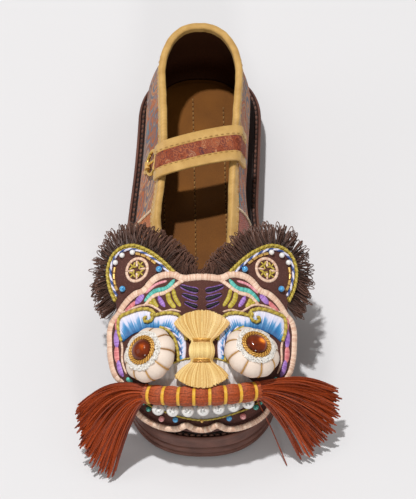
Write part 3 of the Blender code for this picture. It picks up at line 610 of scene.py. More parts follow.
def brocade_colour(cloth, cell_size, stops):
    """Woven motif and its relief: warped cells, each in its own part of a ramp, with rings in it."""
    warp = cloth.cloud(cell_size * 0.8, 2.0)
    bent = cloth.node("ShaderNodeVectorMath", {0: cloth, 1: warp * (cell_size * 0.9 * MM)}, operation="ADD")
    at = {"Vector": bent, "Scale": 1 / (cell_size * MM)}
    own = cloth.node("ShaderNodeSeparateColor", {0: cloth.node("ShaderNodeTexVoronoi", at, "Color")})
    rings = cloth.node("ShaderNodeTexVoronoi", at, "Distance").wave(0.27)
    return (own * 0.72 + rings * 0.28).ramp(stops), rings


brocade, place = surface("quarter_brocade", Roughness=0.7, Specular_IOR_Level=0.25)
cloth = weave(place, "run", "rise", 0.55)
pattern, rings = brocade_colour(cloth, 15.0, (
    (0.0, ink(200, 112, 68)), (0.2, ink(164, 104, 74)), (0.36, ink(98, 124, 142)), (0.5, ink(212, 160, 116)),
    (0.64, ink(188, 98, 58)), (0.8, ink(136, 144, 146)), (1.0, ink(46, 108, 132))))
# Lighter orange where x is below zero, on the lateral side, and darker rose on the medial side.
flat_cloth = (place.node("ShaderNodeSeparateXYZ", {0: place}) > 0.0).mix(ink(212, 128, 80), ink(166, 98, 88))
speckle = cloth.cloud(1.1, 2.0)
front_cloth = (0.3 * speckle.steps(0.35, 0.65)).mix(flat_cloth, pattern)
in_front = (0.0 - place.layer("seam")) > 0.0
twill = (place.layer("run") + place.layer("rise")).wave(1.1)
vary(brocade, Base_Color=(twill * 0.16).mix(in_front.mix(pattern, front_cloth), ink(86, 62, 52)),
     Normal=(0.5 * twill + 0.5 * rings + 0.4 * speckle).bump(0.22))

outer = upper_point(UPPER_TURNS, UPPER_ROWS)
run_way = unit(np.roll(outer, -1, axis=1) - np.roll(outer, 1, axis=1))
outward = unit(np.cross(run_way, np.gradient(outer, axis=0)))
inner = outer - outward * WALL
both_faces = np.concatenate([outer, inner[::-1]])
run = np.cumsum(np.linalg.norm(outer - np.roll(outer, 1, axis=1), axis=2).mean(axis=0))
rise = np.cumsum(np.linalg.norm(np.diff(outer, axis=0, prepend=outer[:1]), axis=2), axis=0)
upper = skin("upper", brocade, [both_faces], loop=True, run=[run],
             rise=[np.concatenate([rise, rise[::-1]])],
             seam=[both_faces[..., 1] + SOLE_LENGTH / 2 - VAMP_SEAM])
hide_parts("upper")

cotton, place = surface("lining_cotton", Roughness=0.9, Specular_IOR_Level=0.1)
cloth = weave(place, "run", "rise", 0.4)
thread_tone = cloth.cloud(0.8, 2.0)
vary(cotton, Base_Color=thread_tone.mix(ink(44, 22, 10), ink(78, 44, 24)),
     Normal=(place.layer("run").wave(0.8) + place.layer("rise").wave(0.8)).bump(0.12))
lined = slice(0, -1, 2)
behind = inner[lined] - outward[lined] * LINING_BACK
shown = inner[lined] - outward[lined] * LINING_FACE
lining = skin("lining", cotton, [np.concatenate([behind, shown[::-1]])], loop=True, run=[run],
              rise=[np.concatenate([rise[lined], rise[lined][::-1]])])

piping_rows = np.linspace(0.03, 0.97, 90)
piping = []
for first, last in ((0.1, 0.95), (1.05, 1.9)):
    search = np.linspace(first, last, 300)
    lines = upper_point(search, piping_rows[:, None])[..., 1] + SOLE_LENGTH / 2
    order = slice(None) if lines[0, -1] > lines[0, 0] else slice(None, None, -1)
    seam_turn = np.array([np.interp(VAMP_SEAM, line[order], search[order]) for line in lines])
    point, out, _, _ = upper_frame(seam_turn, piping_rows)
    twist = np.linspace(0, 60, len(seam_turn))
    piping.append((tube(point + out * 0.35, out, PIPING, PIPING, 12, 3, 0.1, twist), 0.5))
cream_cord = thread_finish("cream_cord", ink(206, 170, 132), ink(244, 222, 190))
sew("vamp_piping", cream_cord, piping)

# Binding: gold satin tape folded over the topline all the way round, a little puckered, and sewn down
# with a row of gold stitches along its lower edge.
BINDING_WIDTH = 3.9
BINDING_INSIDE = 2.5
BINDING_CLEAR = 0.6
BINDING_OUT = 1.25
BINDING_STITCH = (2.4, 1.0, 0.26)
BINDING_TURNS = np.arange(360) / 180
TOPLINE_LENGTH = 420.0
over = rounded(((BINDING_WIDTH, BINDING_OUT - 0.2), (1.2, BINDING_OUT), (-BINDING_OUT, BINDING_OUT - 0.2),
                (-BINDING_OUT - 0.7, -WALL / 2), (-BINDING_OUT, -WALL - BINDING_OUT + 0.2),
                (BINDING_INSIDE, -WALL - BINDING_OUT)), 0.4, 0.75)
under = rounded(((BINDING_INSIDE, -WALL - BINDING_CLEAR), (-BINDING_CLEAR, -WALL - BINDING_CLEAR),
                 (-BINDING_CLEAR, BINDING_CLEAR), (BINDING_WIDTH, BINDING_CLEAR)), 0.8, 0.4)
drop, lift = np.concatenate([over, under]).T[..., None]
length_round = np.linspace(0, TOPLINE_LENGTH, len(BINDING_TURNS))
pucker = 0.13 * np.sin(length_round / 1.9 + 2 * np.sin(length_round / 11)) * np.sin(length_round / 6.3) ** 2
shown = (np.arange(len(drop)) < len(over))[:, None]
fold = side_point(BINDING_TURNS, drop, lift + pucker * shown)[0]


def tape_finish(name, dark, light):
    """Satin bias tape: fine diagonal twill, softly worn lighter where its threads stand up."""
    made, spot = surface(name, Roughness=0.46, Sheen_Weight=0.08, Specular_IOR_Level=0.4)
    diagonal = (spot.layer("run") + 0.8 * spot.layer("rise")).wave(0.75)
    wear = spot.cloud(6.0, 3.0)
    tone = 0.45 * diagonal + 0.55 * wear.steps(0.25, 0.75)
    vary(made, Base_Color=tone.mix(dark, light), Normal=(diagonal + 0.8 * wear).bump(0.1))
    return made


gold_tape = tape_finish("gold_tape", ink(176, 130, 62), ink(226, 184, 110))
binding = skin("binding", gold_tape, [np.swapaxes(fold, 0, 1)], loop=True,
               run=[length_round[:, None]], rise=[drop.T])
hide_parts("binding")
line, out, _, _ = side_point(np.append(BINDING_TURNS, 2.0), BINDING_WIDTH - 0.9, BINDING_OUT - 0.22)
gold_thread = thread_finish("gold_sewing_thread", ink(150, 108, 50), ink(206, 162, 92))
sew("binding_stitches", gold_thread, [toned(stitches(line, out, *BINDING_STITCH), 3)])

# Instep strap: a rust brocade band between two gold tapes, sewn to the medial side, lying over the
# instep, its lateral end folded round the buckle's upper wire.
STRAP_LENGTH = 95.0
STRAP_WIDTH = 22.4
STRAP_THICK = 1.8
STRAP_CLEAR = 0.6
STRAP_BEND = 7.5
STRAP_MEDIAL = 168.0
STRAP_LATERAL = 156.5
STRAP_STITCH = (2.2, 1.1, 0.3)
TAPE_HALF = 3.15
BAND_HALF = 5.0
BINDING_STANDS = 1.6
STRAP_LIFT = BINDING_STANDS + STRAP_CLEAR + STRAP_THICK / 2
STRAP_OVER = -(BINDING_STANDS + STRAP_CLEAR)


def topline_turn(from_toe, lateral):
    """The turn at which the topline passes a distance from the toe."""
    turn = math.acos(1 - 2 * (from_toe - THROAT_FRONT) / (COLLAR_BACK - THROAT_FRONT)) / math.pi
    return 2 - turn if lateral else turn


def carried(points, steps, closed=False):
    """Smooth run through points, evenly spaced along it, or round a closed ring of them."""
    if closed:
        points = np.concatenate([points[-3:], points, points[:3]])
    run = run_along(points[:, :3])
    first, last = (run[3], run[-3]) if closed else (0.0, run[-1])
    places = np.linspace(first, last, steps, endpoint=not closed)
    return np.stack([smooth(places, run, column) for column in points.T], axis=-1)


medial_turn, lateral_turn = topline_turn(STRAP_MEDIAL, False), topline_turn(STRAP_LATERAL, True)
up_side, _, climb_m, run_m = side_point(medial_turn, (8.0, 4.0, 0.0, STRAP_OVER), STRAP_LIFT)
down_side, _, climb_l, run_l = side_point(lateral_turn, (STRAP_OVER, -0.4, 0.4, 1.2), STRAP_LIFT)
near, far = up_side[-1], down_side[0]
t = np.linspace(0, 1, 10)[1:-1, None]
bridge = (near * (1 - t) ** 3 + (near + climb_m[-1] * STRAP_BEND) * 3 * t * (1 - t) ** 2
          + (far + climb_l[0] * STRAP_BEND) * 3 * t * t * (1 - t) + far * t ** 3)
swing = unit(run_m[-1] * (1 - t) - run_l[0] * t)
middles = np.concatenate([up_side, bridge, down_side])
widths = np.concatenate([run_m, swing, -np.broadcast_to(run_l[0], run_l.shape)])
strap_line = carried(np.concatenate([middles, widths], axis=1), 120)
middle, width = strap_line[:, :3], unit(strap_line[:, 3:])
strap_out = unit(np.cross(width, np.gradient(middle, axis=0)))
strap_run = np.linspace(0, STRAP_LENGTH, len(middle))


def band(path, out, half, thick):
    """Flat band with rounded edges along a path, and its way across: the square roots of cosine and sine."""
    heading = unit(np.gradient(path, axis=0))
    side = unit(np.cross(heading, out))
    angle = ring_turns(28)
    wide = np.sign(np.cos(angle)) * np.abs(np.cos(angle)) ** 0.5 * half
    high = np.sign(np.sin(angle)) * np.abs(np.sin(angle)) ** 0.5 * thick / 2
    return path[:, None] + wide[:, None] * side[:, None] + high[:, None] * out[:, None], wide


rust_brocade, place = surface("strap_brocade", Roughness=0.64, Specular_IOR_Level=0.25)
cloth = weave(place, "run", "rise", 0.5)
pattern, rings = brocade_colour(cloth, 5.2, (
    (0.0, ink(108, 44, 26)), (0.25, ink(166, 82, 48)), (0.42, ink(90, 46, 50)), (0.55, ink(186, 106, 66)),
    (0.72, ink(140, 62, 38)), (0.86, ink(202, 146, 106)), (1.0, ink(102, 58, 78))))
twill = (place.layer("run") - place.layer("rise")).wave(0.9)
vary(rust_brocade, Base_Color=(twill * 0.16).mix(pattern, ink(80, 40, 30)),
     Normal=(0.5 * twill + 0.6 * rings).bump(0.18))
strap_band, rise = band(middle, strap_out, BAND_HALF, STRAP_THICK - 0.3)
strap = skin("strap", rust_brocade, [strap_band], run=[strap_run[:, None]], rise=[rise])
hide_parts("strap")
tapes, rises, tape_rows = [], [], []
for edge in (-width, width):
    tape_middle = middle + edge * (STRAP_WIDTH / 2 - TAPE_HALF)
    tape, rise = band(tape_middle, strap_out, TAPE_HALF, STRAP_THICK + 0.35)
    tapes.append(tape)
    rises.append(rise)
    seam = tape_middle - edge * (TAPE_HALF - 0.9) + strap_out * (STRAP_THICK / 2 + 0.16)
    tape_rows.append(toned(stitches(seam[4:-4], strap_out[4:-4], *STRAP_STITCH), 4))
strap_tapes = skin("strap_tapes", gold_tape, tapes, run=[strap_run[:, None]] * 2, rise=rises)
sew("strap_stitches", gold_thread, tape_rows)

# Buckle: an oval ring of polished brass wire with a prong across it, held on the lateral side between
# the strap's fold above and a short tape tab sewn to the upper below.
BUCKLE_HALF_LENGTH = 7.4
BUCKLE_HALF_HEIGHT = 5.4
BUCKLE_WIRE = 1.1
BUCKLE_DROP = 6.6
BUCKLE_FROM_TOE = 160.0
BUCKLE_GRIP = BUCKLE_WIRE + 0.6
buckle_turn = topline_turn(BUCKLE_FROM_TOE, True)
centre, out, climb, run_b = side_point(buckle_turn, BUCKLE_DROP, BUCKLE_WIRE + 1.5)


def buckle_point(turn):
    """Point of the ring's middle line: an ellipse in the plane of the upper's side."""
    return centre + run_b * BUCKLE_HALF_LENGTH * np.cos(turn) + climb * BUCKLE_HALF_HEIGHT * np.sin(turn)


brass, place = surface("brass", Metallic=1.0)
scuff = place.cloud(1.4, 4.0, (1, 3, 1))
vary(brass, Base_Color=scuff.mix(ink(196, 148, 62), ink(236, 196, 108)), Roughness=0.16 + 0.2 * scuff)
loop_path = buckle_point(ring_turns(96)[:, None])
heading = unit(np.roll(loop_path, -1, axis=0) - np.roll(loop_path, 1, axis=0))
spoke = np.cross(heading, out)
wire_turn = ring_turns(16)[:, None]
ring = loop_path[:, None] + BUCKLE_WIRE * (np.cos(wire_turn) * spoke[:, None] + np.sin(wire_turn) * out)
prong_way = np.linspace(-1, 1, 40)[:, None]
prong_path = centre + climb * BUCKLE_HALF_HEIGHT * prong_way + out * 0.5 * (1 - prong_way ** 2)
slim = 0.95 - 0.25 * (prong_way[:, 0] + 1) / 2
prong = tube(prong_path, out, slim, slim, 12)
buckle = skin("buckle", brass, [ring], loop=True)
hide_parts("buckle")
buckle_prong = skin("buckle_prong", brass, [prong])
grips = []
for first, last in ((0.2, 0.8), (1.4, 1.6)):
    path = buckle_point(np.linspace(first, last, 40)[:, None] * math.pi)
    grips.append(tube(path, out, BUCKLE_GRIP, BUCKLE_GRIP, 16))
tab_path, tab_out = side_point(buckle_turn, BUCKLE_DROP + np.linspace(5.6, 10, 30), 0.75)[:2]
tab, _ = band(tab_path, tab_out, 2.8, 1.3)
strap_folds = skin("strap_folds", gold_tape, grips + [tab], run=[0.0] * 3, rise=[0.0] * 3)

# Face: a stuffed pad of brown felt cut to the outline of an animal's head with lobed cheeks, sewn over
# the toe. A band of peach satin stitch runs round its edge, and threads and cords are sewn all over it.
HEAD = np.array([
    # from_toe, height, radius across
    (2, 25.2, 70), (3.5, 36, 68), (8, 48, 66), (16, 56, 70), (30, 62, 76), (52, 69, 80), (76, 74.5, 80),
    (112, 82.5, 80),
], float)
HEAD_UP = run_along(HEAD[:, :2])
FACE_MIDDLE = np.array([0.0, 55.0])
FACE_EDGE = np.array([
    # across, up
    (0, 97.3), (6, 96.9), (10.5, 96.7), (14.5, 98.8), (21, 99.4), (27, 97.8), (31.4, 94.4), (34.2, 91.4),
    (38.4, 90.6), (43.8, 87.6), (48.2, 83.4), (51.2, 79.4), (55.4, 75.6), (57.8, 69), (58, 62), (57, 49),
    (52, 37), (44, 22), (39.2, 6.4), (33.2, 1.4), (25, 0.5), (13, 2.4), (0, 0.8),
])
PAD_EDGE = ((1.4, -4.0), (0.2, -3.7), (0.0, -2.8), (0.0, -1.2), (0.2, -0.4), (1.4, 0.0))
THREAD_SIDES = 8
SIDES = {"medial": 1, "lateral": -1}


def head_point(across, up, lift):
    """Point on the head: across an arc of its radius at a height up its middle line, lifted off it."""
    across, up, lift = np.broadcast_arrays(np.asarray(across, float), up, lift)
    line, ahead, behind = [np.stack([smooth(at, HEAD_UP, column) for column in HEAD.T[:2]], axis=-1)
                           for at in (up, up + 0.05, up - 0.05)]
    slope = unit(ahead - behind)
    radius = smooth(up, HEAD_UP, HEAD[:, 2])
    angle = across / radius
    rise = lift * np.cos(angle) - radius * (1 - np.cos(angle))
    return shoe_point((radius + lift) * np.sin(angle), line[..., 0] - slope[..., 1] * rise,
                      line[..., 1] + slope[..., 0] * rise)


def head_frame(across, up, lift):
    """Point on the head with its directions across, up and out of the surface, from small steps."""
    right = unit(head_point(across + 0.1, up, lift) - head_point(across - 0.1, up, lift))
    rising = head_point(across, up + 0.1, lift) - head_point(across, up - 0.1, lift)
    out = unit(np.cross(right, rising))
    return head_point(across, up, lift), right, np.cross(out, right), out


def inwards(line, inset):
    """A flat line moved to the right of its heading by an inset."""
    heading = unit(np.gradient(line, axis=0))
    return line + np.stack([heading[:, 1], -heading[:, 0]], axis=-1) * inset


def pad(edge, middle, profile, bulge):
    """Stuffed pad on the head inside a closed edge: rings of its edge drawn in to its middle, top and bottom.

    The top swells by bulge times (1 - share squared).
    """
    shares = np.linspace(0.02, 1, 16)[:-1]
    rings = [(inwards(edge, inset), lift) for inset, lift in rounded(profile, 0.35, 0.4)]
    (low, low_lift), (high, high_lift) = rings[0], rings[-1]
    below = [(middle + (low - middle) * share, low_lift) for share in shares[::4]]
    above = [(middle + (high - middle) * share, high_lift + bulge * (1 - share ** 2))
             for share in shares[::-1]]
    flat, lift = [np.array(column) for column in zip(*below, *rings, *above)]
    return head_point(flat[..., 0], flat[..., 1], lift[:, None])


def draw(corners, side=1, lift=0.0, step=0.22):
    """Line on the head through corners across and up it: its points, outward directions and run."""
    corners = np.array(corners, float) * (side, 1)
    flat = carried(corners, int(run_along(corners)[-1] / step) + 3)
    point, _, _, out = head_frame(flat[:, 0], flat[:, 1], lift)
    return point, out, run_along(point)


def satin(line, half, high, pitch, ends, seed):
    """Satin stitch along a line: a low pad of threads lying across it, each a ridge with its own tone.

    Its half width and height fall off at both ends with the power ends of the distance from them.
    """
    point, out, run = line
    share = run / run[-1]
    close = (1 - np.abs(2 * share - 1) ** 6) ** ends
    ridge = 1 + 0.13 * np.cos(2 * math.pi * run / pitch)
    thread = (run / pitch + 0.5).astype(int)
    uneven = 1 + 0.06 * (shuffled(thread[-1] + 1, seed + 20)[thread] - 0.5)
    wide = np.maximum(half * close * uneven, 0.06)
    grid = tube(point, out, wide, np.maximum(high * close * ridge, 0.05), THREAD_SIDES)
    return grid, shuffled(thread[-1] + 1, seed)[thread][:, None]


def cord(line, radius, pitch):
    """Two-ply cord along a line: a ring with two lobes that turns once every pitch."""
    point, out, run = line
    turn = 2 * math.pi * run / pitch
    grid = tube(point + out * radius * 0.75, out, radius, radius, THREAD_SIDES, 2, 0.15, turn)
    return grid, 0.5 + 0.5 * np.cos(ring_turns(THREAD_SIDES) - turn[:, None] / 2)


felt, place = surface("brown_felt", Roughness=0.92, Sheen_Weight=0.1, Specular_IOR_Level=0.15)
nap = place.cloud(0.5, 3.0)
blotch = place.cloud(9.0, 2.0)
dots = place.node("ShaderNodeTexVoronoi", {"Vector": place, "Scale": 1 / (1.15 * MM)}, "Distance")
fleck = dots.steps(0.34, 0.12)
vary(felt, Base_Color=(0.45 * fleck + 0.4 * nap + 0.15 * blotch).mix(ink(64, 36, 32), ink(124, 82, 72)),
     Normal=(0.6 * fleck + 0.5 * nap).bump(0.22))
face_ring = carried(np.concatenate([FACE_EDGE, FACE_EDGE[-2:0:-1] * (-1, 1)]), 480, closed=True)
face_panel = skin("face_panel", felt, [pad(face_ring, FACE_MIDDLE, PAD_EDGE, 0.3)])
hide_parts("face_panel")

peach = thread_finish("peach_satin", ink(208, 160, 132), ink(250, 222, 198), 0.45, 0.05, 0.3)
upper_edge = face_ring[face_ring[:, 1] > 12]
start = int(np.argmax(np.linalg.norm(np.diff(upper_edge, axis=0), axis=1))) + 1
border = inwards(np.roll(upper_edge, -start, axis=0), 1.7)
LIP = [
    (38.6, 16.8), (36.6, 12.0), (32.4, 8.4), (28.6, 7.0), (24.3, 6.2), (18.4, 6.2), (12.9, 7.8), (8.2, 11.2),
]
lip_line = LIP + [(4.0, 9.0), (0, 8.2), (-4.0, 9.0)] + [(-across, up) for across, up in reversed(LIP)]
sew("face_border", peach, [
    satin(draw(border[::4], step=0.2), 1.95, 1.05, 0.8, 0.2, 1),
    satin(draw(lip_line, step=0.2, lift=2.5), 2.0, 1.5, 0.8, 0.2, 2)])
sew("chin_edge", felt, [satin(draw(lip_line, lift=0.2), 1.8, 2.6, 0.8, 0.2, 2)])

PEACH_LINES = (
    # path of across and up, half width
    ([(6.5, 95.2), (10.4, 93.8), (13.9, 91.7), (17.2, 89.2), (20.6, 87.3), (27, 86.0), (33.2, 80.4)], 1.15),
    ([(48.4, 78.5), (41.2, 80.0), (34.8, 81.0), (29.5, 80.6), (25.2, 78.0), (22.4, 76.0), (16.9, 76.6),
      (11.5, 75.2)], 0.75),
    ([(48.3, 77.2), (47.2, 71.6), (48.0, 64.4), (47.0, 57.4), (47.2, 50.0), (44.4, 42.6)], 0.7),
)
SATIN_LINES = (
    # colour, path of across and up, half width
    ("turquoise", [(15.2, 94.6), (19.4, 90.0), (27, 88.5), (33.0, 83.2)], 1.35),
    ("turquoise", [(44.6, 39.4), (42.6, 36.6), (40.6, 34.6)], 1.3),
    ("turquoise", [(36.0, 19.6), (33.2, 17.2)], 0.8),
    ("pink", [(19.6, 94.0), (26.0, 92.4), (32.2, 88.0)], 0.85),
    ("olive", [(19.2, 87.6), (18.4, 82.8), (14.8, 77.4)], 1.5),
    ("olive", [(16.2, 89.0), (15.0, 84.0), (11.8, 78.2)], 1.25),
    ("olive", [(28.0, 84.6), (26.8, 81.4), (25.0, 78.4)], 1.4),
    ("olive", [(30.2, 82.8), (29.0, 81.8), (27.8, 81.0)], 0.9),
)
PETALS = (
    # the same for leaf shapes that swell in the middle
    ("purple", [(33.2, 87.4), (36.0, 85.0), (38.6, 82.4)], 1.9),
    ("coral", [(38.0, 84.4), (41.4, 81.6), (45.4, 78.8)], 1.5),
    ("purple", [(24.6, 85.6), (23.2, 82.6), (20.6, 78.4)], 1.4),
    ("coral", [(50.8, 77.4), (50.6, 73.0), (50.8, 68.0)], 1.7),
    ("purple", [(50.6, 70.0), (51.2, 63.6), (50.8, 57.4)], 1.9),
    ("coral", [(51.0, 59.6), (51.2, 54.0), (50.6, 48.8)], 1.8),
    ("purple", [(50.4, 51.0), (49.0, 45.6), (46.6, 40.6)], 1.7),
)
PEACH_STITCH = (0.65, 0.7, 0.25)
PETAL_STITCH = (0.75, 0.7, 0.6)
SATIN_STITCHES = {
    # height, pitch of the threads, power of the ends; seed
    "turquoise": ((0.8, 0.7, 0.5), 5), "pink": ((0.65, 0.7, 0.5), 7), "olive": ((0.6, 0.65, 0.6), 11),
}
SATIN_COLOURS = {
    # dark and light tones, slot
    "turquoise": (ink(52, 150, 140), ink(120, 212, 196), "brow_satin"),
    "pink": (ink(214, 122, 138), ink(246, 178, 184), "brow_satin"),
    "purple": (ink(134, 84, 170), ink(190, 146, 218), "brow_satin"),
    "coral": (ink(200, 98, 108), ink(238, 154, 150), "brow_satin"),
    "olive": (ink(150, 128, 24), ink(208, 188, 74), "gold_braid"),
}
peach_cords, works = [], {colour: [] for colour in SATIN_COLOURS}
petal_way = np.linspace(0, 1, 60)
petal_swell = np.sin(math.pi * petal_way) ** 0.6
for side in SIDES.values():
    first_seed = 3 + side
    for path, half in PEACH_LINES:
        peach_cords.append(satin(draw(path, side, step=0.2), half, *PEACH_STITCH, first_seed))
    for colour, path, half in SATIN_LINES:
        stitch, seed = SATIN_STITCHES[colour]
        works[colour].append(satin(draw(path, side), half, *stitch, first_seed + seed))
    for colour, path, half in PETALS:
        line = draw(path, side)
        plump = half * (0.35 + 0.65 * np.interp(line[2] / line[2][-1], petal_way, petal_swell))
        works[colour].append(satin(line, plump, *PETAL_STITCH, first_seed + len(works[colour])))
sew("peach_cords", peach, peach_cords)
for colour, (dark, light, slot) in SATIN_COLOURS.items():
    finish = thread_finish(colour + "_satin", dark, light, 0.42, 0.05, 0.3)
    sew(colour + "_satin", finish, works[colour])

STRIPES = (
    # path of across and up, half width
    ([(12.2, 90.6), (7.2, 88.4), (1.9, 87.0)], 1.6), ([(11.2, 85.6), (6.8, 83.6), (2.0, 82.2)], 1.55),
    ([(9.8, 80.8), (6.2, 79.0), (2.4, 77.6)], 1.4),
)
stripe_works, outline_works = [], []
for side in SIDES.values():
    for path, half in STRIPES:
        line = draw(path, side)
        taper = np.linspace(0.45, 1.0, len(line[2]))
        outline_works.append(satin(line, (half + 0.7) * (0.3 + 0.7 * taper), 0.5, 0.6, 0.5, 31))
        stripe_works.append(satin(draw(path, side, 0.25), half * taper, 0.75, 0.65, 0.6, 32))
violet_thread = thread_finish("violet_thread", ink(92, 58, 122), ink(150, 110, 178), 0.45, 0.05, 0.3)
sew("stripe_outlines", violet_thread, outline_works)
black_satin = thread_finish("black_satin", ink(5, 3, 5), ink(26, 18, 24), 0.6, 0.0, 0.3)
sew("forehead_stripes", black_satin, stripe_works)

# Ears: two flat felt leaves behind the forehead, edged with couched olive-gold and a twisted lavender
# and navy cord, each with an embroidered coin, pearls, bugle beads and blue beads.
EAR_EDGE = np.array([
    # across, up
    (15, 99.5), (23, 108), (31, 114.3), (41, 118.8), (48.5, 118.6), (55, 115), (58.5, 108), (57.5, 97),
    (52, 85),
])
EAR_MIDDLE = np.array([38.0, 101.0])
EAR_PAD = ((1.0, -3.2), (0.1, -3.0), (0.0, -2.4), (0.0, -1.2), (0.1, -0.6), (1.0, -0.4))
EAR_LIFT = -0.4
COIN = np.array([38.0, 103.0])
COIN_RADIUS = 6.6
PEARLS = ((51.6, 109.6), (47.0, 113.0), (40.2, 113.4))
PEARL_RADIUS = 1.55
BLUE_BEADS = ((24.0, 101.0), (46.4, 92.8))
BLUE_RADIUS = 1.75
BUGLES = np.array([
    # across and up of both ends
    ((52.4, 107.0), (53.0, 103.9)), ((53.1, 103.2), (52.9, 100.1)), ((52.8, 99.4), (52.0, 96.4)),
    ((51.8, 95.7), (50.4, 93.0)), ((38.2, 112.6), (35.4, 111.6)), ((34.7, 111.2), (32.0, 109.8)),
    ((31.4, 109.4), (29.0, 107.4)), ((28.4, 106.9), (26.2, 104.8)),
])
BUGLE_RADIUS = 0.78
rim = carried(EAR_EDGE, 240)
crown = face_ring[(face_ring[:, 0] > 15) & (face_ring[:, 0] < 52) & (face_ring[:, 1] > 55)]
root = inwards(crown[np.argsort(-crown[:, 0])], 0.6)
ear_ring = np.concatenate([rim, root])
coin_turn = np.linspace(0, 2 * math.pi, 61)
coin_ring = COIN + np.stack([np.cos(coin_turn), np.sin(coin_turn)], axis=-1) * COIN_RADIUS
coin_cream, coin_gold, ear_olive, ear_cords, pearl_seats, blue_seats, bugles = [], [], [], [], [], [], []
for side_name, side in SIDES.items():
    ear_edge = [(side * inset, lift) for inset, lift in EAR_PAD]
    ear = skin("ear_" + side_name, felt, [pad(ear_ring * (side, 1), EAR_MIDDLE * (side, 1), ear_edge, 0.2)])
    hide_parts("ear_" + side_name)
    coin_cream.append(satin(draw(coin_ring, side, EAR_LIFT), 0.95, 0.7, 0.75, 0.01, 41))
    for quarter in range(4):
        way = np.array([math.cos(quarter * math.pi / 2), math.sin(quarter * math.pi / 2)])
        slant = np.array([way[1], -way[0]])
        ray = COIN + np.outer((1.7, 3.6, 5.6), way)
        arc = COIN + [way * 4.4 + slant * 0.9, (way + slant) * 2.2, way * 0.9 + slant * 4.4]
        branch = COIN + [way * 1.6, (way + slant) * 2.0, (way + slant) * 3.9]
        coin_cream.append(satin(draw(ray, side, EAR_LIFT), 0.75, 0.6, 0.7, 0.4, 42 + quarter))
        coin_gold += [cord(draw(arc, side, EAR_LIFT), 0.55, 1.6),
                      cord(draw(branch, side, EAR_LIFT), 0.45, 1.6)]
    ear_olive += [cord(draw(inwards(rim, 0.75)[::6], side, EAR_LIFT + 0.1), 0.85, 1.7),
                  cord(draw(inwards(rim, 2.0)[4:-4:6], side, EAR_LIFT), 0.35, 1.7)]
    ear_cords.append(cord(draw(inwards(rim, 3.1)[6:-6:6], side, EAR_LIFT), 0.75, 3.6))
    pearl_seats += [(side * across, up, PEARL_RADIUS) for across, up in PEARLS]
    blue_seats += [(side * across, up, BLUE_RADIUS) for across, up in BLUE_BEADS]
    for first, last in BUGLES:
        point, out, _ = draw([first, (first + last) / 2, last], side, EAR_LIFT)
        bugles.append(tube(point + out * 0.7, out, BUGLE_RADIUS, BUGLE_RADIUS, 10))
sew("ear_coins", peach, coin_cream)
olive_cord = thread_finish("olive_cord", ink(146, 122, 30), ink(214, 190, 84), 0.42, 0.05, 0.35)
sew("coin_lattice", olive_cord, coin_gold)
sew("ear_olive_cord", olive_cord, ear_olive)
two_ply, place = surface("two_ply_cord", Roughness=0.5)
ply = place.layer("tint").steps(0.4, 0.6)
vary(two_ply, Base_Color=ply.mix(ink(64, 84, 142), ink(226, 222, 240)),
     Normal=place.cloud(0.4, 2.0).bump(0.1))
sew("ear_cord", two_ply, ear_cords)


def beads(name, finish, seats, lift, hole):
    """Beads sewn on the head at seats of across, up and radius: spheres, the hole left open along them."""
    seats = np.array(seats, float)
    point, right, up, out = head_frame(seats[:, 0], seats[:, 1], lift)
    size = seats[:, 2]
    middle = point + out * (size * 0.85)[:, None]
    tilt = np.linspace(hole, math.pi - hole, 14)[None, :, None, None]
    angle = ring_turns(20)[None, None, :, None]
    right, up, out = [way[:, None, None] for way in (right, up, out)]
    spread = right * np.cos(tilt) + np.sin(tilt) * (up * np.cos(angle) + out * np.sin(angle))
    skin(name, finish, [middle[:, None, None] + size[:, None, None, None] * spread])


def glass(name, dark, light, **steady):
    """Coloured glass, clouded between a dark and a light tone."""
    made, spot = surface(name, Coat_Weight=0.6, **steady)
    vary(made, Base_Color=spot.cloud(1.2, 2.0).steps(0.35, 0.65).mix(dark, light))
    return made


pearl, place = surface("pearl", Roughness=0.2, Coat_Weight=1.0, Coat_Roughness=0.04, Specular_IOR_Level=0.6)
lustre = place.cloud(3.0, 2.0)
# Grey flecks on the side that faces the camera: a painted reflection, only on the teeth, since the ear pearls
# carry no facing value.
painted_reflection_spot = place.layer("front").steps(0.78, 0.92) * place.cloud(1.0, 1.0).steps(0.4, 0.6)
white = lustre.mix(ink(228, 224, 220), ink(252, 250, 247))
vary(pearl, Base_Color=(0.8 * painted_reflection_spot).mix(white, ink(112, 108, 104)))
beads("ear_pearls", pearl, pearl_seats, EAR_LIFT, 0.2)
blue_glass = glass("blue_glass", ink(36, 124, 190), ink(104, 190, 236),
                   Roughness=0.12, Specular_IOR_Level=0.6)
beads("ear_beads", blue_glass, blue_seats, EAR_LIFT, 0.25)
bugle_gold, place = surface("bugle_gold", Metallic=0.6, Roughness=0.25)
vary(bugle_gold, Base_Color=place.cloud(0.8, 2.0).mix(ink(216, 152, 56), ink(255, 222, 142)))
ear_bugles = skin("ear_bugles", bugle_gold, bugles)

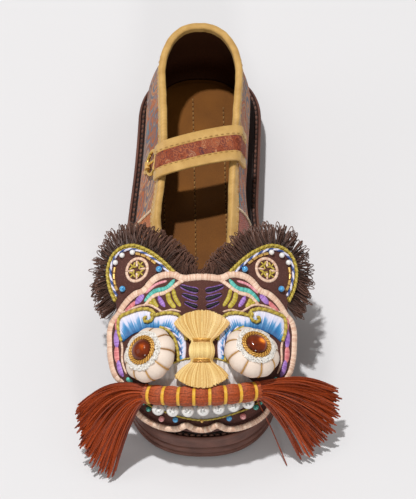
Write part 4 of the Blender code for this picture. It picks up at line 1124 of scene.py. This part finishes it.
# Ear fringes: rows of dark brown thread loops sewn in behind each ear's edge, standing out all round it,
# with a short row that carries on behind the forehead.
LOOPS = 470
FRINGE_LONG = 14.0
FRINGE_THREAD = 0.3
FOREHEAD_ROW = np.array([(-1.0, 95.6), (5.0, 95.6), (10.0, 96.6), (15.0, 99.5)])
loop_turn = np.linspace(0, 2 * math.pi, 17)
chance = np.random.default_rng(5)
fringe_thread = thread_finish("fringe_thread", ink(17, 7, 4), ink(118, 80, 64), 0.5, 0.05, 0.25)
fringe_rim = np.concatenate([carried(FOREHEAD_ROW, 40)[:-1], rim])
fringe_length = run_along(fringe_rim)[-1]
rim_way = unit(np.gradient(fringe_rim, axis=0))
fringe_line = np.concatenate([fringe_rim, np.zeros((len(fringe_rim), 1)), rim_way], axis=1)
far = (1 - np.cos(loop_turn)) / 2
for side_name, side in SIDES.items():
    ahead = np.clip((np.arange(LOOPS) + chance.uniform(-0.6, 0.6, LOOPS)) / LOOPS, 0, 1)
    reach = FRINGE_LONG * chance.uniform(0.3, 1.0, LOOPS) ** 0.5
    reach *= np.interp(ahead * fringe_length, (0, 3, 8, 13, 18), (0.22, 0.45, 0.78, 0.95, 1.0))
    lean, width, layer, rise, twist = chance.uniform(
        (-0.3, 1.1, -3.0, -2.6, -1.2), (0.3, 1.9, -0.8, 3.4, 1.2), (LOOPS, 5)).T[..., None]
    seat, _ = along(fringe_line, ahead)
    heading = unit(seat[:, 3:])
    left = np.stack([-heading[:, 1], heading[:, 0]], axis=-1)
    bulb = width * np.sin(loop_turn) * np.sqrt(far)
    aside = lean * reach[:, None] * far + bulb * np.cos(twist)
    away = reach[:, None] * far
    flat = seat[:, None, :2] + left[:, None] * away[..., None] + heading[:, None] * aside[..., None]
    height = layer + rise * far + bulb * np.sin(twist)
    point, _, _, out = head_frame(side * flat[..., 0], flat[..., 1], height)
    # Each loop's own tone, plus painted light: lighter towards the loop's far end and darker, as painted
    # shade, at its root in the dense fringe.
    tone = 0.55 * shuffled(LOOPS, 6)[:, None] + 0.6 * far - 0.1
    loops = tube(point, out, FRINGE_THREAD, FRINGE_THREAD, 3)
    fringe = skin("ear_fringe_" + side_name, fringe_thread, [loops], tint=[tone[..., None]])
    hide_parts("ear_fringe_" + side_name)

# Brows: raised satin stitch over the eyes and down beside the nose, blue at the lower edge fading to
# lavender white, outlined with couched olive-gold cord that curls into a spiral.
BROW_TOP = np.array([
    # across, up
    (48.4, 66.5), (47.8, 75.2), (41.2, 77.2), (35.7, 78.0), (31.2, 77.8), (27.3, 76.0), (24.8, 73.8),
    (19.0, 73.8), (12.8, 72.4), (10.6, 68.0), (9.4, 63.0), (8.8, 58.8), (8.6, 54.0), (9.0, 49.0),
])
BROW_LOW = np.array([
    (46.0, 61.0), (43.6, 62.6), (39.8, 64.6), (35.2, 65.8), (30.8, 66.2), (27.0, 66.2), (24.0, 65.8),
    (20.0, 64.4), (16.8, 62.0), (15.0, 59.4), (13.8, 56.4), (13.0, 53.0), (12.6, 50.0), (12.4, 47.5),
])
BROW_SECTION = np.array([
    # share of the way up, lift
    (0.0, 0.1), (0.0, 0.9), (0.08, 1.3), (0.2, 1.5), (0.35, 1.6), (0.5, 1.6), (0.65, 1.55), (0.8, 1.45),
    (0.92, 1.2), (1.0, 0.8), (1.0, 0.1),
])
BROW_THREADS = 96
SPIRAL_TURN = 2.4 + 0.66 * np.arange(9)
SPIRAL_SHRINK = 1 - 0.1 * np.arange(9)
SPIRAL = np.stack([30.4 + 3.7 * SPIRAL_SHRINK * np.cos(SPIRAL_TURN),
                   72.4 + 3.2 * SPIRAL_SHRINK * np.sin(SPIRAL_TURN)], axis=-1)
BROW_CORDS = (
    # path of across and up, lift
    ([(46.6, 61.4), (48.6, 67.6), (47.6, 75.6), (41.2, 77.5), (35.7, 78.4), (31.2, 78.2), (27.3, 76.6)], 0.9),
    ([(27.3, 76.6), (26.0, 73.6), *SPIRAL], 1.5),
    ([(26.0, 73.6), (21.6, 74.6), (17.0, 74.4), (12.6, 72.8), (10.4, 68.4), (9.2, 63.4), (8.6, 58.8)], 1.0),
    ([(23.0, 66.6), (18.6, 64.4), (15.4, 60.6), (13.8, 56.4), (13.0, 52.0), (12.8, 47.4)], 1.3),
)
NOSE_SIDE = [(20.0, 66.6), (16.0, 63.6), (13.2, 59.8), (11.8, 55.4), (11.4, 50.6)]
ombre, place = surface("brow_satin", Roughness=0.4, Specular_IOR_Level=0.4)
fade = place.layer("share") + (place.layer("tint") - 0.5) * 0.36
blue_to_white = fade.ramp((
    (0.0, ink(34, 102, 162)), (0.3, ink(60, 138, 194)), (0.46, ink(124, 172, 216)),
    (0.58, ink(212, 214, 238)), (1.0, ink(242, 236, 248))))
vary(ombre, Base_Color=blue_to_white, Normal=place.cloud(0.4, 2.0).bump(0.06))
thread = np.arange(BROW_THREADS * 5 + 1) / 5
brow_top, brow_low = [carried(line, len(thread)) for line in (BROW_TOP, BROW_LOW)]
ridge = 0.2 * np.abs(np.cos(math.pi * thread))[:, None]
brow_share, brow_lift = BROW_SECTION.T
brow_flat = brow_low[:, None] + (brow_top - brow_low)[:, None] * brow_share[:, None]
brow_tone = shuffled(BROW_THREADS + 2, 7)[(thread + 0.5).astype(int)][:, None]
olive_lines, blue_lines = [], []
for side_name, side in SIDES.items():
    grid = head_point(side * brow_flat[..., 0], brow_flat[..., 1], brow_lift - ridge * (brow_lift > 0.6))
    brow = skin("brow_" + side_name, ombre, [grid], share=[brow_share], tint=[brow_tone])
    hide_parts("brow_" + side_name)
    for path, lift in BROW_CORDS:
        olive_lines.append(cord(draw(path, side, lift), 0.95, 1.9))
    blue_lines.append(cord(draw(NOSE_SIDE, side, 1.3), 0.6, 3.0))
sew("brow_cords", olive_cord, olive_lines)
sew("nose_side_cords", two_ply, blue_lines)

# Eyes: stuffed cream satin balls drawn into lobes by gold-brown threads, each with a fluffy white ring, a
# double ring of twisted gold and a domed amber glass bead in the dimple.
EYE_ACROSS = {"medial": 25.4, "lateral": 26.4}
EYE_UP = {"medial": 51.3, "lateral": 50.3}
EYE_RADIUS = 15.9
EYE_LOBES = 9
EYE_LIFT = 7.4
EYE_LOOK = {"medial": (0.02, 0.46), "lateral": (0.24, 0.2)}
EYE_PAINTED_GLOW = {"medial": 0.72, "lateral": 0.26}
EYE_PROFILE = np.array([
    # share of the radius, height along the line of sight
    (0.03, -6.2), (0.3, -6.15), (0.55, -5.8), (0.75, -4.9), (0.88, -3.6), (0.97, -1.8), (1.0, 0.0),
    (0.995, 1.8), (0.96, 3.4), (0.88, 5.0), (0.78, 6.2), (0.66, 7.0), (0.54, 7.4), (0.42, 6.9), (0.28, 6.0),
    (0.03, 5.6),
])
LACE_THREAD = 0.36
FLUFF_TUFTS = 460
FLUFF_REACH = (8.2, 10.9)
FLUFF_THREAD = 0.2
IRIS_RINGS = (
    # radius, wire, twists
    (6.75, 0.62, 24), (7.85, 0.68, 28),
)
IRIS_LEVEL = 8.75
BEAD_RADIUS = 6.3
BEAD_LEVEL = 8.3
BEAD_HEIGHT = 4.2
eye_rows = carried(EYE_PROFILE * (EYE_RADIUS, 1), 60)
reach, level = eye_rows.T[..., None]
lace_rows = eye_rows[(eye_rows[:, 0] > 9.5) & (eye_rows[:, 1] > -4.5)]
eye_turn = ring_turns(162)
groove = np.exp(-(np.mod(eye_turn * EYE_LOBES / (2 * math.pi) + 0.5, 1) - 0.5) ** 2 / 0.006)
plump = 1 - 0.02 * (1 + np.cos(EYE_LOBES * eye_turn)) - 0.03 * groove
rim_share = np.clip((reach - 7.5) / 6, 0, 1)
ball_reach = reach * (1 + (plump - 1) * rim_share)
ball_level = level - 0.5 * groove * rim_share * (level > 0)
round_turn = ring_turns(192)[:, None]
wire_turn = ring_turns(8)
bead_turn = ring_turns(48)
dome = np.linspace(-1.5, 1.52, 26)[:, None]
curl = np.linspace(0, 2 * math.pi, 9)
cream, place = surface("eye_satin", Roughness=0.5, Sheen_Weight=0.05, Specular_IOR_Level=0.3)
weft = place.cloud(0.6, 2.0, (1, 1, 4))
# The grooves between the lobes are painted brown: painted shade in the creases.
painted_crease_shade = place.layer("groove")
vary(cream, Base_Color=(0.62 * painted_crease_shade + 0.25 * weft).mix(ink(240, 223, 208), ink(168, 122, 84)),
     Normal=weft.bump(0.1))
gold_brown = thread_finish("gold_brown_thread", ink(140, 92, 34), ink(206, 158, 82), 0.45, 0.05, 0.4)
fluff = thread_finish("white_fluff", ink(222, 214, 204), ink(255, 253, 248), 0.8, 0.1, 0.4)
braid_gold, place = surface("braid_gold", Roughness=0.34, Metallic=0.35)
vary(braid_gold, Base_Color=place.layer("tint").mix(ink(128, 70, 14), ink(244, 190, 92)),
     Normal=place.cloud(0.3, 2.0).bump(0.08))
# The amber's colour, fed to both base and emission, carries painted light: the bead glows though it is no
# lamp, brightest at a painted glow spot and darker, as painted shade, towards its rim.
amber, place = surface("amber_glass", Roughness=0.05, Specular_IOR_Level=0.45, Emission_Strength=0.22)
depth = place.layer("glow") + (place.cloud(3.0, 2.0) - 0.5) * 0.5
amber_and_painted_glow = depth.ramp((
    (0.0, ink(58, 16, 2)), (0.36, ink(116, 42, 4)), (0.56, ink(176, 76, 8)), (0.9, ink(248, 150, 44))))
vary(amber, Base_Color=amber_and_painted_glow, Emission_Color=amber_and_painted_glow)


def eye_point(frame, radius, height, turn):
    """Point at a radius, height and turn round an eye's line of sight."""
    seat, right, up, sight = frame
    radius, height, turn = [value[..., None] for value in np.broadcast_arrays(radius, height, turn)]
    return seat + sight * height + right * (radius * np.cos(turn)) + up * (radius * np.sin(turn))


for side_name, side in SIDES.items():
    seat, right, up, out = head_frame(side * EYE_ACROSS[side_name], EYE_UP[side_name], EYE_LIFT)
    look_out, look_up = EYE_LOOK[side_name]
    sight = unit(out + right * side * look_out + up * look_up)
    right = unit(right - sight * np.dot(right, sight))
    frame = seat, right, np.cross(sight, right), sight
    ball = eye_point(frame, ball_reach, ball_level, eye_turn)
    eye = skin("eye_" + side_name, cream, [ball], groove=[groove * rim_share])
    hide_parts("eye_" + side_name)
    lacing = []
    for lobe, turn in enumerate(ring_turns(EYE_LOBES)):
        path = eye_point(frame, lace_rows[:, 0] * 0.938 + 0.12, lace_rows[:, 1] - 0.35, turn)
        twist = np.linspace(0, 40, len(path))
        lacing.append((tube(path, unit(path - seat), LACE_THREAD, LACE_THREAD, 8, 2, 0.15, twist), lobe / 8))
    sew("eye_lacing_" + side_name, gold_brown, lacing)
    tuft_turn = chance.uniform(0, 2 * math.pi, FLUFF_TUFTS)[:, None]
    tuft_reach = chance.uniform(*FLUFF_REACH, FLUFF_TUFTS)[:, None]
    tuft_level = np.interp(-tuft_reach, -eye_rows[30:, 0], eye_rows[30:, 1])
    twist = chance.uniform(0, 2 * math.pi, FLUFF_TUFTS)[:, None]
    size = chance.uniform(0.5, 0.95, FLUFF_TUFTS)[:, None]
    tufts = eye_point(frame, tuft_reach + size * np.cos(curl + twist),
                      tuft_level + size * (0.6 + 0.7 * np.sin(curl)),
                      tuft_turn + size * np.sin(curl + twist) / tuft_reach)
    fluff_threads = tube(tufts, sight, FLUFF_THREAD, FLUFF_THREAD, 3)
    sew("eye_fluff_" + side_name, fluff, [toned(fluff_threads, 8)])
    rings, tones = [], []
    for radius, wire, twists in IRIS_RINGS:
        ply = np.cos(2 * wire_turn - round_turn * twists)
        swell = wire * (1 + 0.2 * ply)
        rings.append(eye_point(frame, radius + swell * np.cos(wire_turn),
                               IRIS_LEVEL + swell * np.sin(wire_turn), round_turn))
        # Each ply's tone follows its swell: painted highlight on the ply tops and painted shade in the
        # grooves between them.
        tones.append(0.5 + 0.5 * ply)
    braid = skin("iris_ring_" + side_name, braid_gold, rings, loop=True, tint=tones)
    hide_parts("iris_ring_" + side_name)
    bead_level = BEAD_LEVEL + BEAD_HEIGHT * np.sin(dome)
    bead_grid = eye_point(frame, BEAD_RADIUS * np.cos(dome), bead_level, bead_turn)
    aside, above = np.cos(dome) * np.cos(bead_turn), np.cos(dome) * np.sin(bead_turn)
    # Painted light for the amber: a painted glow spot towards one side, stronger on the medial eye, and
    # painted shade darkening the bead towards its rim.
    painted_glow_spot = np.exp(-((aside - 0.42) ** 2 + (above - 0.08) ** 2) / 0.12)
    glow = 0.24 - 0.2 * np.cos(dome) ** 6 + EYE_PAINTED_GLOW[side_name] * painted_glow_spot
    bead = skin("iris_bead_" + side_name, amber, [bead_grid], glow=[glow])
    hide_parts("iris_bead_" + side_name)

# Nose: a hank of straw-gold silk laid up the middle of the face and tied twice, so that it fans out above
# and below a round knot.
NOSE = np.array([
    # up, half width, height
    (33.0, 15.0, 8.2), (36.0, 14.8, 6.6), (39.0, 13.8, 5.4), (43.0, 10.0, 4.6), (46.7, 5.4, 4.2),
    (49.0, 6.0, 6.8), (51.7, 6.3, 8.0), (54.4, 6.0, 7.0), (57.6, 5.4, 4.2), (60.5, 8.6, 4.0),
    (64.0, 11.8, 3.6), (67.3, 14.4, 3.1), (71.0, 15.6, 2.7), (74.4, 16.0, 2.3),
])
NOSE_KNOT = 51.7
NOSE_NECKS = (46.7, 57.6)
TIE_THREAD = 0.45
NOSE_LIFT = 2.5
NOSE_CROWN = 0.3
NOSE_THREADS = 190
silk = thread_finish("straw_silk", ink(200, 150, 72), ink(248, 222, 154), 0.34, 0.05, 0.2)
under_up = np.linspace(38.0, 68.5, 60)
half, high = [smooth(under_up, NOSE[:, 0], column)[:, None] for column in NOSE.T[1:]]
spread = np.concatenate([np.linspace(-1, 1, 40), np.linspace(1, -1, 12)])
covers = np.arange(52) < 40
under = head_point(0.97 * half * spread, under_up[:, None],
                   np.where(covers, NOSE_LIFT - 0.5 + high * (1 - NOSE_CROWN * spread ** 2) * 0.9, 0.4))
rank = np.linspace(-1, 1, NOSE_THREADS) + chance.uniform(-0.006, 0.006, NOSE_THREADS)
low_end = 34.6 + 4.8 * rank ** 2 + chance.uniform(-0.35, 0.5, NOSE_THREADS)
high_end = 74.4 - 6.8 * rank ** 2 + chance.uniform(-0.5, 0.35, NOSE_THREADS)
hank_up = low_end[:, None] + (high_end - low_end)[:, None] * np.linspace(0, 1, 30)
half, high = [smooth(hank_up, NOSE[:, 0], column) for column in NOSE.T[1:]]
layer = chance.uniform(-0.35, 0.15, NOSE_THREADS)[:, None]
lift = NOSE_LIFT + high * (1 - NOSE_CROWN * rank[:, None] ** 2) * 0.97 + layer - 0.3
point, _, _, out = head_frame(half * rank[:, None], hank_up, lift)
slim = 0.26 + 0.2 * np.clip(half / 15, 0, 1)
hank = tube(point, out, slim, slim, 5)
# Each thread's own tone, plus a painted highlight that makes the threads paler over the round knot.
hank_tone_and_highlight = 0.8 * shuffled(NOSE_THREADS, 9)[:, None] + 0.4 * np.exp(-((hank_up - NOSE_KNOT) / 3.4) ** 2)
nose = skin("nose_bow", silk, [under, hank], tint=[0.15, hank_tone_and_highlight[..., None]])
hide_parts("nose_bow")
ties = []
tie_way = np.linspace(-1.06, 1.06, 40)
twist = np.linspace(0, 30, 40)
for neck in NOSE_NECKS:
    for offset in (-0.75, 0.0, 0.75):
        half, high = [smooth(np.array(neck + offset), NOSE[:, 0], column) for column in NOSE.T[1:]]
        rise = NOSE_LIFT + high * (1 - 0.75 * np.abs(tie_way) ** 4) + 0.05
        point, _, _, out = head_frame(half * tie_way, neck + offset, rise)
        ties.append((tube(point, out, TIE_THREAD, TIE_THREAD, 8, 2, 0.15, twist), 0.5 + offset / 3))
sew("nose_ties", braid_gold, ties)

# Mouth: a roll of rust silk threads across the muzzle, drawn in by eight gold wraps, over strips of silver
# organza edged with olive-gold cord, with seven pearls for teeth and small beads sewn on below them.
MOUTH_LIFT = 5.7
MOUTH_END = 29.2
WRAP_SPACING = 7.65
WRAPS = (np.arange(8) - 3.5) * WRAP_SPACING
WRAP_RADIUS = 5.05
WRAP_THREAD = 0.3
ROLL_WAIST = 4.35
ROLL_SWELL = 1.2
ROLL_THREADS = 96
ROLL_THREAD = 0.33
rust = thread_finish("rust_silk", ink(84, 18, 1), ink(192, 82, 32), 0.42, 0.0, 0.3)
roll_silk = thread_finish("roll_silk", ink(66, 14, 2), ink(200, 94, 46), 0.5, 0.0, 0.55)


def mouth_up(across):
    """Height of the roll up the face: a shallow bow that climbs a little to the medial side."""
    return 30.2 + 0.03 * across + 0.0005 * across ** 2


def roll_point(across, radius, turn):
    """Point at a radius and turn round the mouth roll's middle line, with the direction out of the face."""
    across, radius, turn = np.broadcast_arrays(across, radius, turn)
    point, _, up, out = head_frame(across, mouth_up(across), MOUTH_LIFT)
    return point + radius[..., None] * (np.cos(turn)[..., None] * up + np.sin(turn)[..., None] * out), out


def roll_radius(across):
    """Roll's radius: drawn in at the wraps, swelling between them with the power 0.55 of a half wave."""
    between = np.abs(np.sin(math.pi * (across - WRAPS[0]) / WRAP_SPACING))
    return ROLL_WAIST + ROLL_SWELL * between ** 0.55


way = np.linspace(-MOUTH_END, MOUTH_END, 120)[:, None]
core, _ = roll_point(way, roll_radius(way) - 0.45, ring_turns(28))
uneven = np.arange(ROLL_THREADS) + chance.uniform(-0.4, 0.4, ROLL_THREADS)
strand_turn = uneven[:, None] * 2 * math.pi / ROLL_THREADS
strand_way = np.linspace(-MOUTH_END, MOUTH_END, 60) + chance.uniform(-0.6, 0.6, ROLL_THREADS)[:, None]
strand_radius = roll_radius(strand_way)
sway = 0.07 * np.sin(strand_way / 3.1 + 9 * strand_turn)
stand = chance.uniform(-0.15, 0.1, ROLL_THREADS)[:, None] - 0.28
strand, strand_out = roll_point(strand_way, strand_radius + stand, strand_turn + sway)
# Each strand's own tone, plus painted light: paler on the swollen tops between the wraps and darker, as
# painted shade, where the wraps draw the roll in.
strand_tone_and_shade = 0.75 * shuffled(ROLL_THREADS, 10)[:, None] + 0.6 * (strand_radius - 4.7)
mouth = skin("mouth_roll", roll_silk, [core, tube(strand, strand_out, ROLL_THREAD, ROLL_THREAD, 4)],
             tint=[0.1, strand_tone_and_shade[..., None]])
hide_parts("mouth_roll")

wrap_gold = thread_finish("wrap_gold", ink(196, 134, 22), ink(252, 204, 76), 0.32, 0.05, 0.3)
wrap_turn = ring_turns(56)
thread_turn = ring_turns(7)[:, None]
for number, at in enumerate(WRAPS):
    works = []
    for offset in (-0.55, -0.18, 0.19, 0.56):
        path, _ = roll_point(at + offset, WRAP_RADIUS - 0.2 * abs(offset), wrap_turn)
        spoke = unit(path - path.mean(axis=0))
        axis = unit(np.cross(spoke[0], spoke[14]))
        ring = np.cos(thread_turn) * spoke[:, None] + np.sin(thread_turn) * axis
        works.append(path[:, None] + WRAP_THREAD * ring)
    wrap = skin(f"mouth_wrap_{number}", wrap_gold, works, loop=True, tint=[0.2, 0.5, 0.8, 0.4])
    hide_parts(f"mouth_wrap_{number}")

CHIN_LINE = [(-19, 17.0), (-8, 15.0), (0, 14.2), (8, 15.0), (19, 17.0)]
ORGANZA_LIFT = 0.5
MUZZLE_CORD = (0.5, 1.4)
organza, place = surface("silver_organza", Roughness=0.42, Sheen_Weight=0.1, Metallic=0.1)
mesh_lines = place.layer("run").wave(0.5) * 0.5 + place.layer("rise").wave(0.5) * 0.5
# The chin strip, below the roll and behind the teeth, is painted darker: painted shade under the roll and
# teeth.
below = (26.0 - place.layer("rise")) > 0.0
threads_tone = (0.6 * mesh_lines + 0.4 * place.cloud(4.0, 2.0)).mix(ink(188, 182, 180), ink(246, 242, 240))
vary(organza, Base_Color=(0.55 * below).mix(threads_tone, ink(92, 84, 78)),
     Normal=mesh_lines.bump(0.08))


def patch(low, high, side):
    """Thin strip of cloth on the head between two lines across and up it, with a turned edge all round."""
    low, high = [carried(np.array(line, float), 60) for line in (low, high)]
    share = np.concatenate([[0.0], np.linspace(0, 1, 14), [1.0]])[:, None, None]
    across, up = np.moveaxis(low * (1 - share) + high * share, -1, 0)
    raised = np.pad(np.ones(14), 1)[:, None]
    return head_point(side * across, up, raised * (ORGANZA_LIFT + 0.15 * np.sin(across * 2.3))), across, up


strips = [patch(CHIN_LINE, [(-30, 24.0), (-14, 24.0), (0, 24.0), (14, 24.0), (30, 24.0)], 1)]
gold_lines = [cord(draw(CHIN_LINE, 1, 0.6), *MUZZLE_CORD)]
for side in SIDES.values():
    strips.append(patch([(1, 29.0), (10, 29.2), (20, 30.6), (31, 34.0)],
                        [(1, 49.0), (8.8, 48.6), (15.0, 47.0), (22.0, 43.0)], side))
    gold_lines += [cord(draw([(6.4, 48.8), (10.6, 48.2), (15.6, 46.4)], side, 0.7), *MUZZLE_CORD),
                   cord(draw([(19, 17.0), (26, 18.0), (33, 20.4)], side, 0.4), *MUZZLE_CORD)]
grids, runs, rises = zip(*strips)
muzzle = skin("muzzle_organza", organza, grids, around=False, run=runs, rise=rises)
sew("muzzle_gold", olive_cord, gold_lines)

TOOTH_LIFT = 4.4
TOOTH_RADIUS = 3.6
TOOTH_SPACING = 7.9
TOOTH_SHIFT = 0.7
TOOTH_UP = 23.2
TOOTH_CLIMB = 0.62
TOOTH_HOLE = 0.16
TOOTH_TO_CAMERA = (0.0, -0.56, 0.83)
tooth_turn = ring_turns(36)[:, None]
tooth_tilt = np.linspace(TOOTH_HOLE, math.pi - TOOTH_HOLE, 22)[:, None, None]
for number in range(7):
    tooth_across = (number - 3) * TOOTH_SPACING + TOOTH_SHIFT
    tooth_up = TOOTH_UP + TOOTH_CLIMB * (number - 3)
    point, right, up, out = head_frame(tooth_across, tooth_up, TOOTH_LIFT)
    girth = up * np.cos(tooth_turn) + out * np.sin(tooth_turn)
    spread = right * np.cos(tooth_tilt) + np.sin(tooth_tilt) * girth
    # Each point's facing towards the camera, kept for the pearl's painted reflection.
    tooth = skin(f"tooth_{number}", pearl, [point + TOOTH_RADIUS * spread], front=[spread @ TOOTH_TO_CAMERA])
    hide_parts(f"tooth_{number}")
pink_glass = glass("pink_glass", ink(206, 112, 116), ink(246, 178, 172), Roughness=0.14)
green_glass = glass("green_glass", ink(28, 120, 112), ink(92, 190, 170), Roughness=0.14)
for name, finish, seats in (
        ("chin_blue_beads", blue_glass, [(14.8, 14.6, 1.6), (-14.4, 13.6, 1.6)]),
        ("chin_pink_beads", pink_glass, [(22.6, 14.0, 1.8), (-22.2, 12.2, 1.7)]),
        ("chin_green_beads", green_glass, [(30.2, 18.0, 1.6), (-29.8, 16.6, 1.5)])):
    beads(name, finish, seats, 0.3, 0.25)
beads("chin_gold_bead", bugle_gold, [(0.0, 14.2, 0.9)], 0.9, 0.25)

# Tassels: the roll's rust silk threads carry on past its last wraps and fan out in locks on both sides,
# down to the floor, with one loose thread hanging from the medial end.
TASSEL_ROOT = 29.0
TASSEL_NECK = 8.8
TASSEL_THREADS = 460
TASSEL_LOCKS = 34
TASSEL_DEPTH = 3.8
LOOSE_THREAD = 0.36
TASSEL_TIPS = {
    # across, from_toe and height of the highest, middle and lowest tips
    "lateral": ((-68.5, 18.5, 31), (-66.5, 0, 15), (-50, -14, 3)),
    "medial": ((75, 28, 33), (75, 15, 17), (56, -3.0, 3)),
}
fall = np.linspace(0, 1, 13)[None, :, None]
for side_name, tips in TASSEL_TIPS.items():
    side = SIDES[side_name]
    root, right, up, out = head_frame(side * TASSEL_ROOT, mouth_up(side * TASSEL_ROOT), MOUTH_LIFT)
    uneven = np.arange(TASSEL_THREADS) + chance.uniform(-0.9, 0.9, TASSEL_THREADS)
    u = np.clip(uneven / (TASSEL_THREADS - 1), 0, 1)[:, None]
    lock = (u * (TASSEL_LOCKS - 0.01)).astype(int)
    locks = chance.uniform((0, -1, 0.94), (1, 1, 1.02), (TASSEL_LOCKS, 3))
    lock_tone, lock_depth, lock_long = [column[lock] for column in locks.T]
    gathered = 0.45 * u + 0.55 * (lock + 0.5) / TASSEL_LOCKS
    v = chance.uniform(-1, 1, (TASSEL_THREADS, 1)) * np.sqrt(1 - 0.85 * (2 * u - 1) ** 2)
    first, middle_tip, last = [shoe_point(*tip) for tip in np.array(tips, float)]
    tip = (first * (1 - gathered) * (1 - 2 * gathered) + middle_tip * 4 * gathered * (1 - gathered)
           + last * gathered * (2 * gathered - 1))
    start = root + up * (0.5 - u) * TASSEL_NECK + out * v * TASSEL_DEPTH
    bend = start + right * side * (25 - 16 * u) + up * (1 - u) * 2.5
    sheet = unit(np.cross(tip - start, first - last)) * side
    long = lock_long * chance.uniform(0.93, 1.03, (TASSEL_THREADS, 1))
    tip = start + (tip - start) * long - sheet * (0.5 * v + 0.5 * lock_depth) * 2.6
    tip[:, 2] = np.maximum(tip[:, 2], 1.0)
    start, bend, tip = start[:, None], bend[:, None], tip[:, None]
    bow = chance.normal(0, 1, (TASSEL_THREADS, 1, 3)) * 0.8
    path = (start * (1 - fall) ** 2 + bend * 2 * fall * (1 - fall) + tip * fall ** 2
            + bow * np.sin(math.pi * fall))
    slim = 0.4 - 0.08 * fall[..., 0]
    tone = 0.5 * lock_tone + 0.6 * shuffled(TASSEL_THREADS, 11)[:, None] - 0.05
    tassel = skin("tassel_" + side_name, rust, [tube(path, out, slim, slim, 4)], tint=[tone[..., None]])
    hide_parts("tassel_" + side_name)
stray = np.array([head_point(30.0, 25.0, 4.0), shoe_point(40.0, 9.0, 15.0), shoe_point(47.6, -3.4, 1.0)])
loose = tube(carried(stray, 40), UPRIGHT, LOOSE_THREAD, LOOSE_THREAD, 6)
sew("loose_thread", rust, [(loose, 0.35)])

# Bring the scene's objects up to date
bpy.context.view_layer.update()
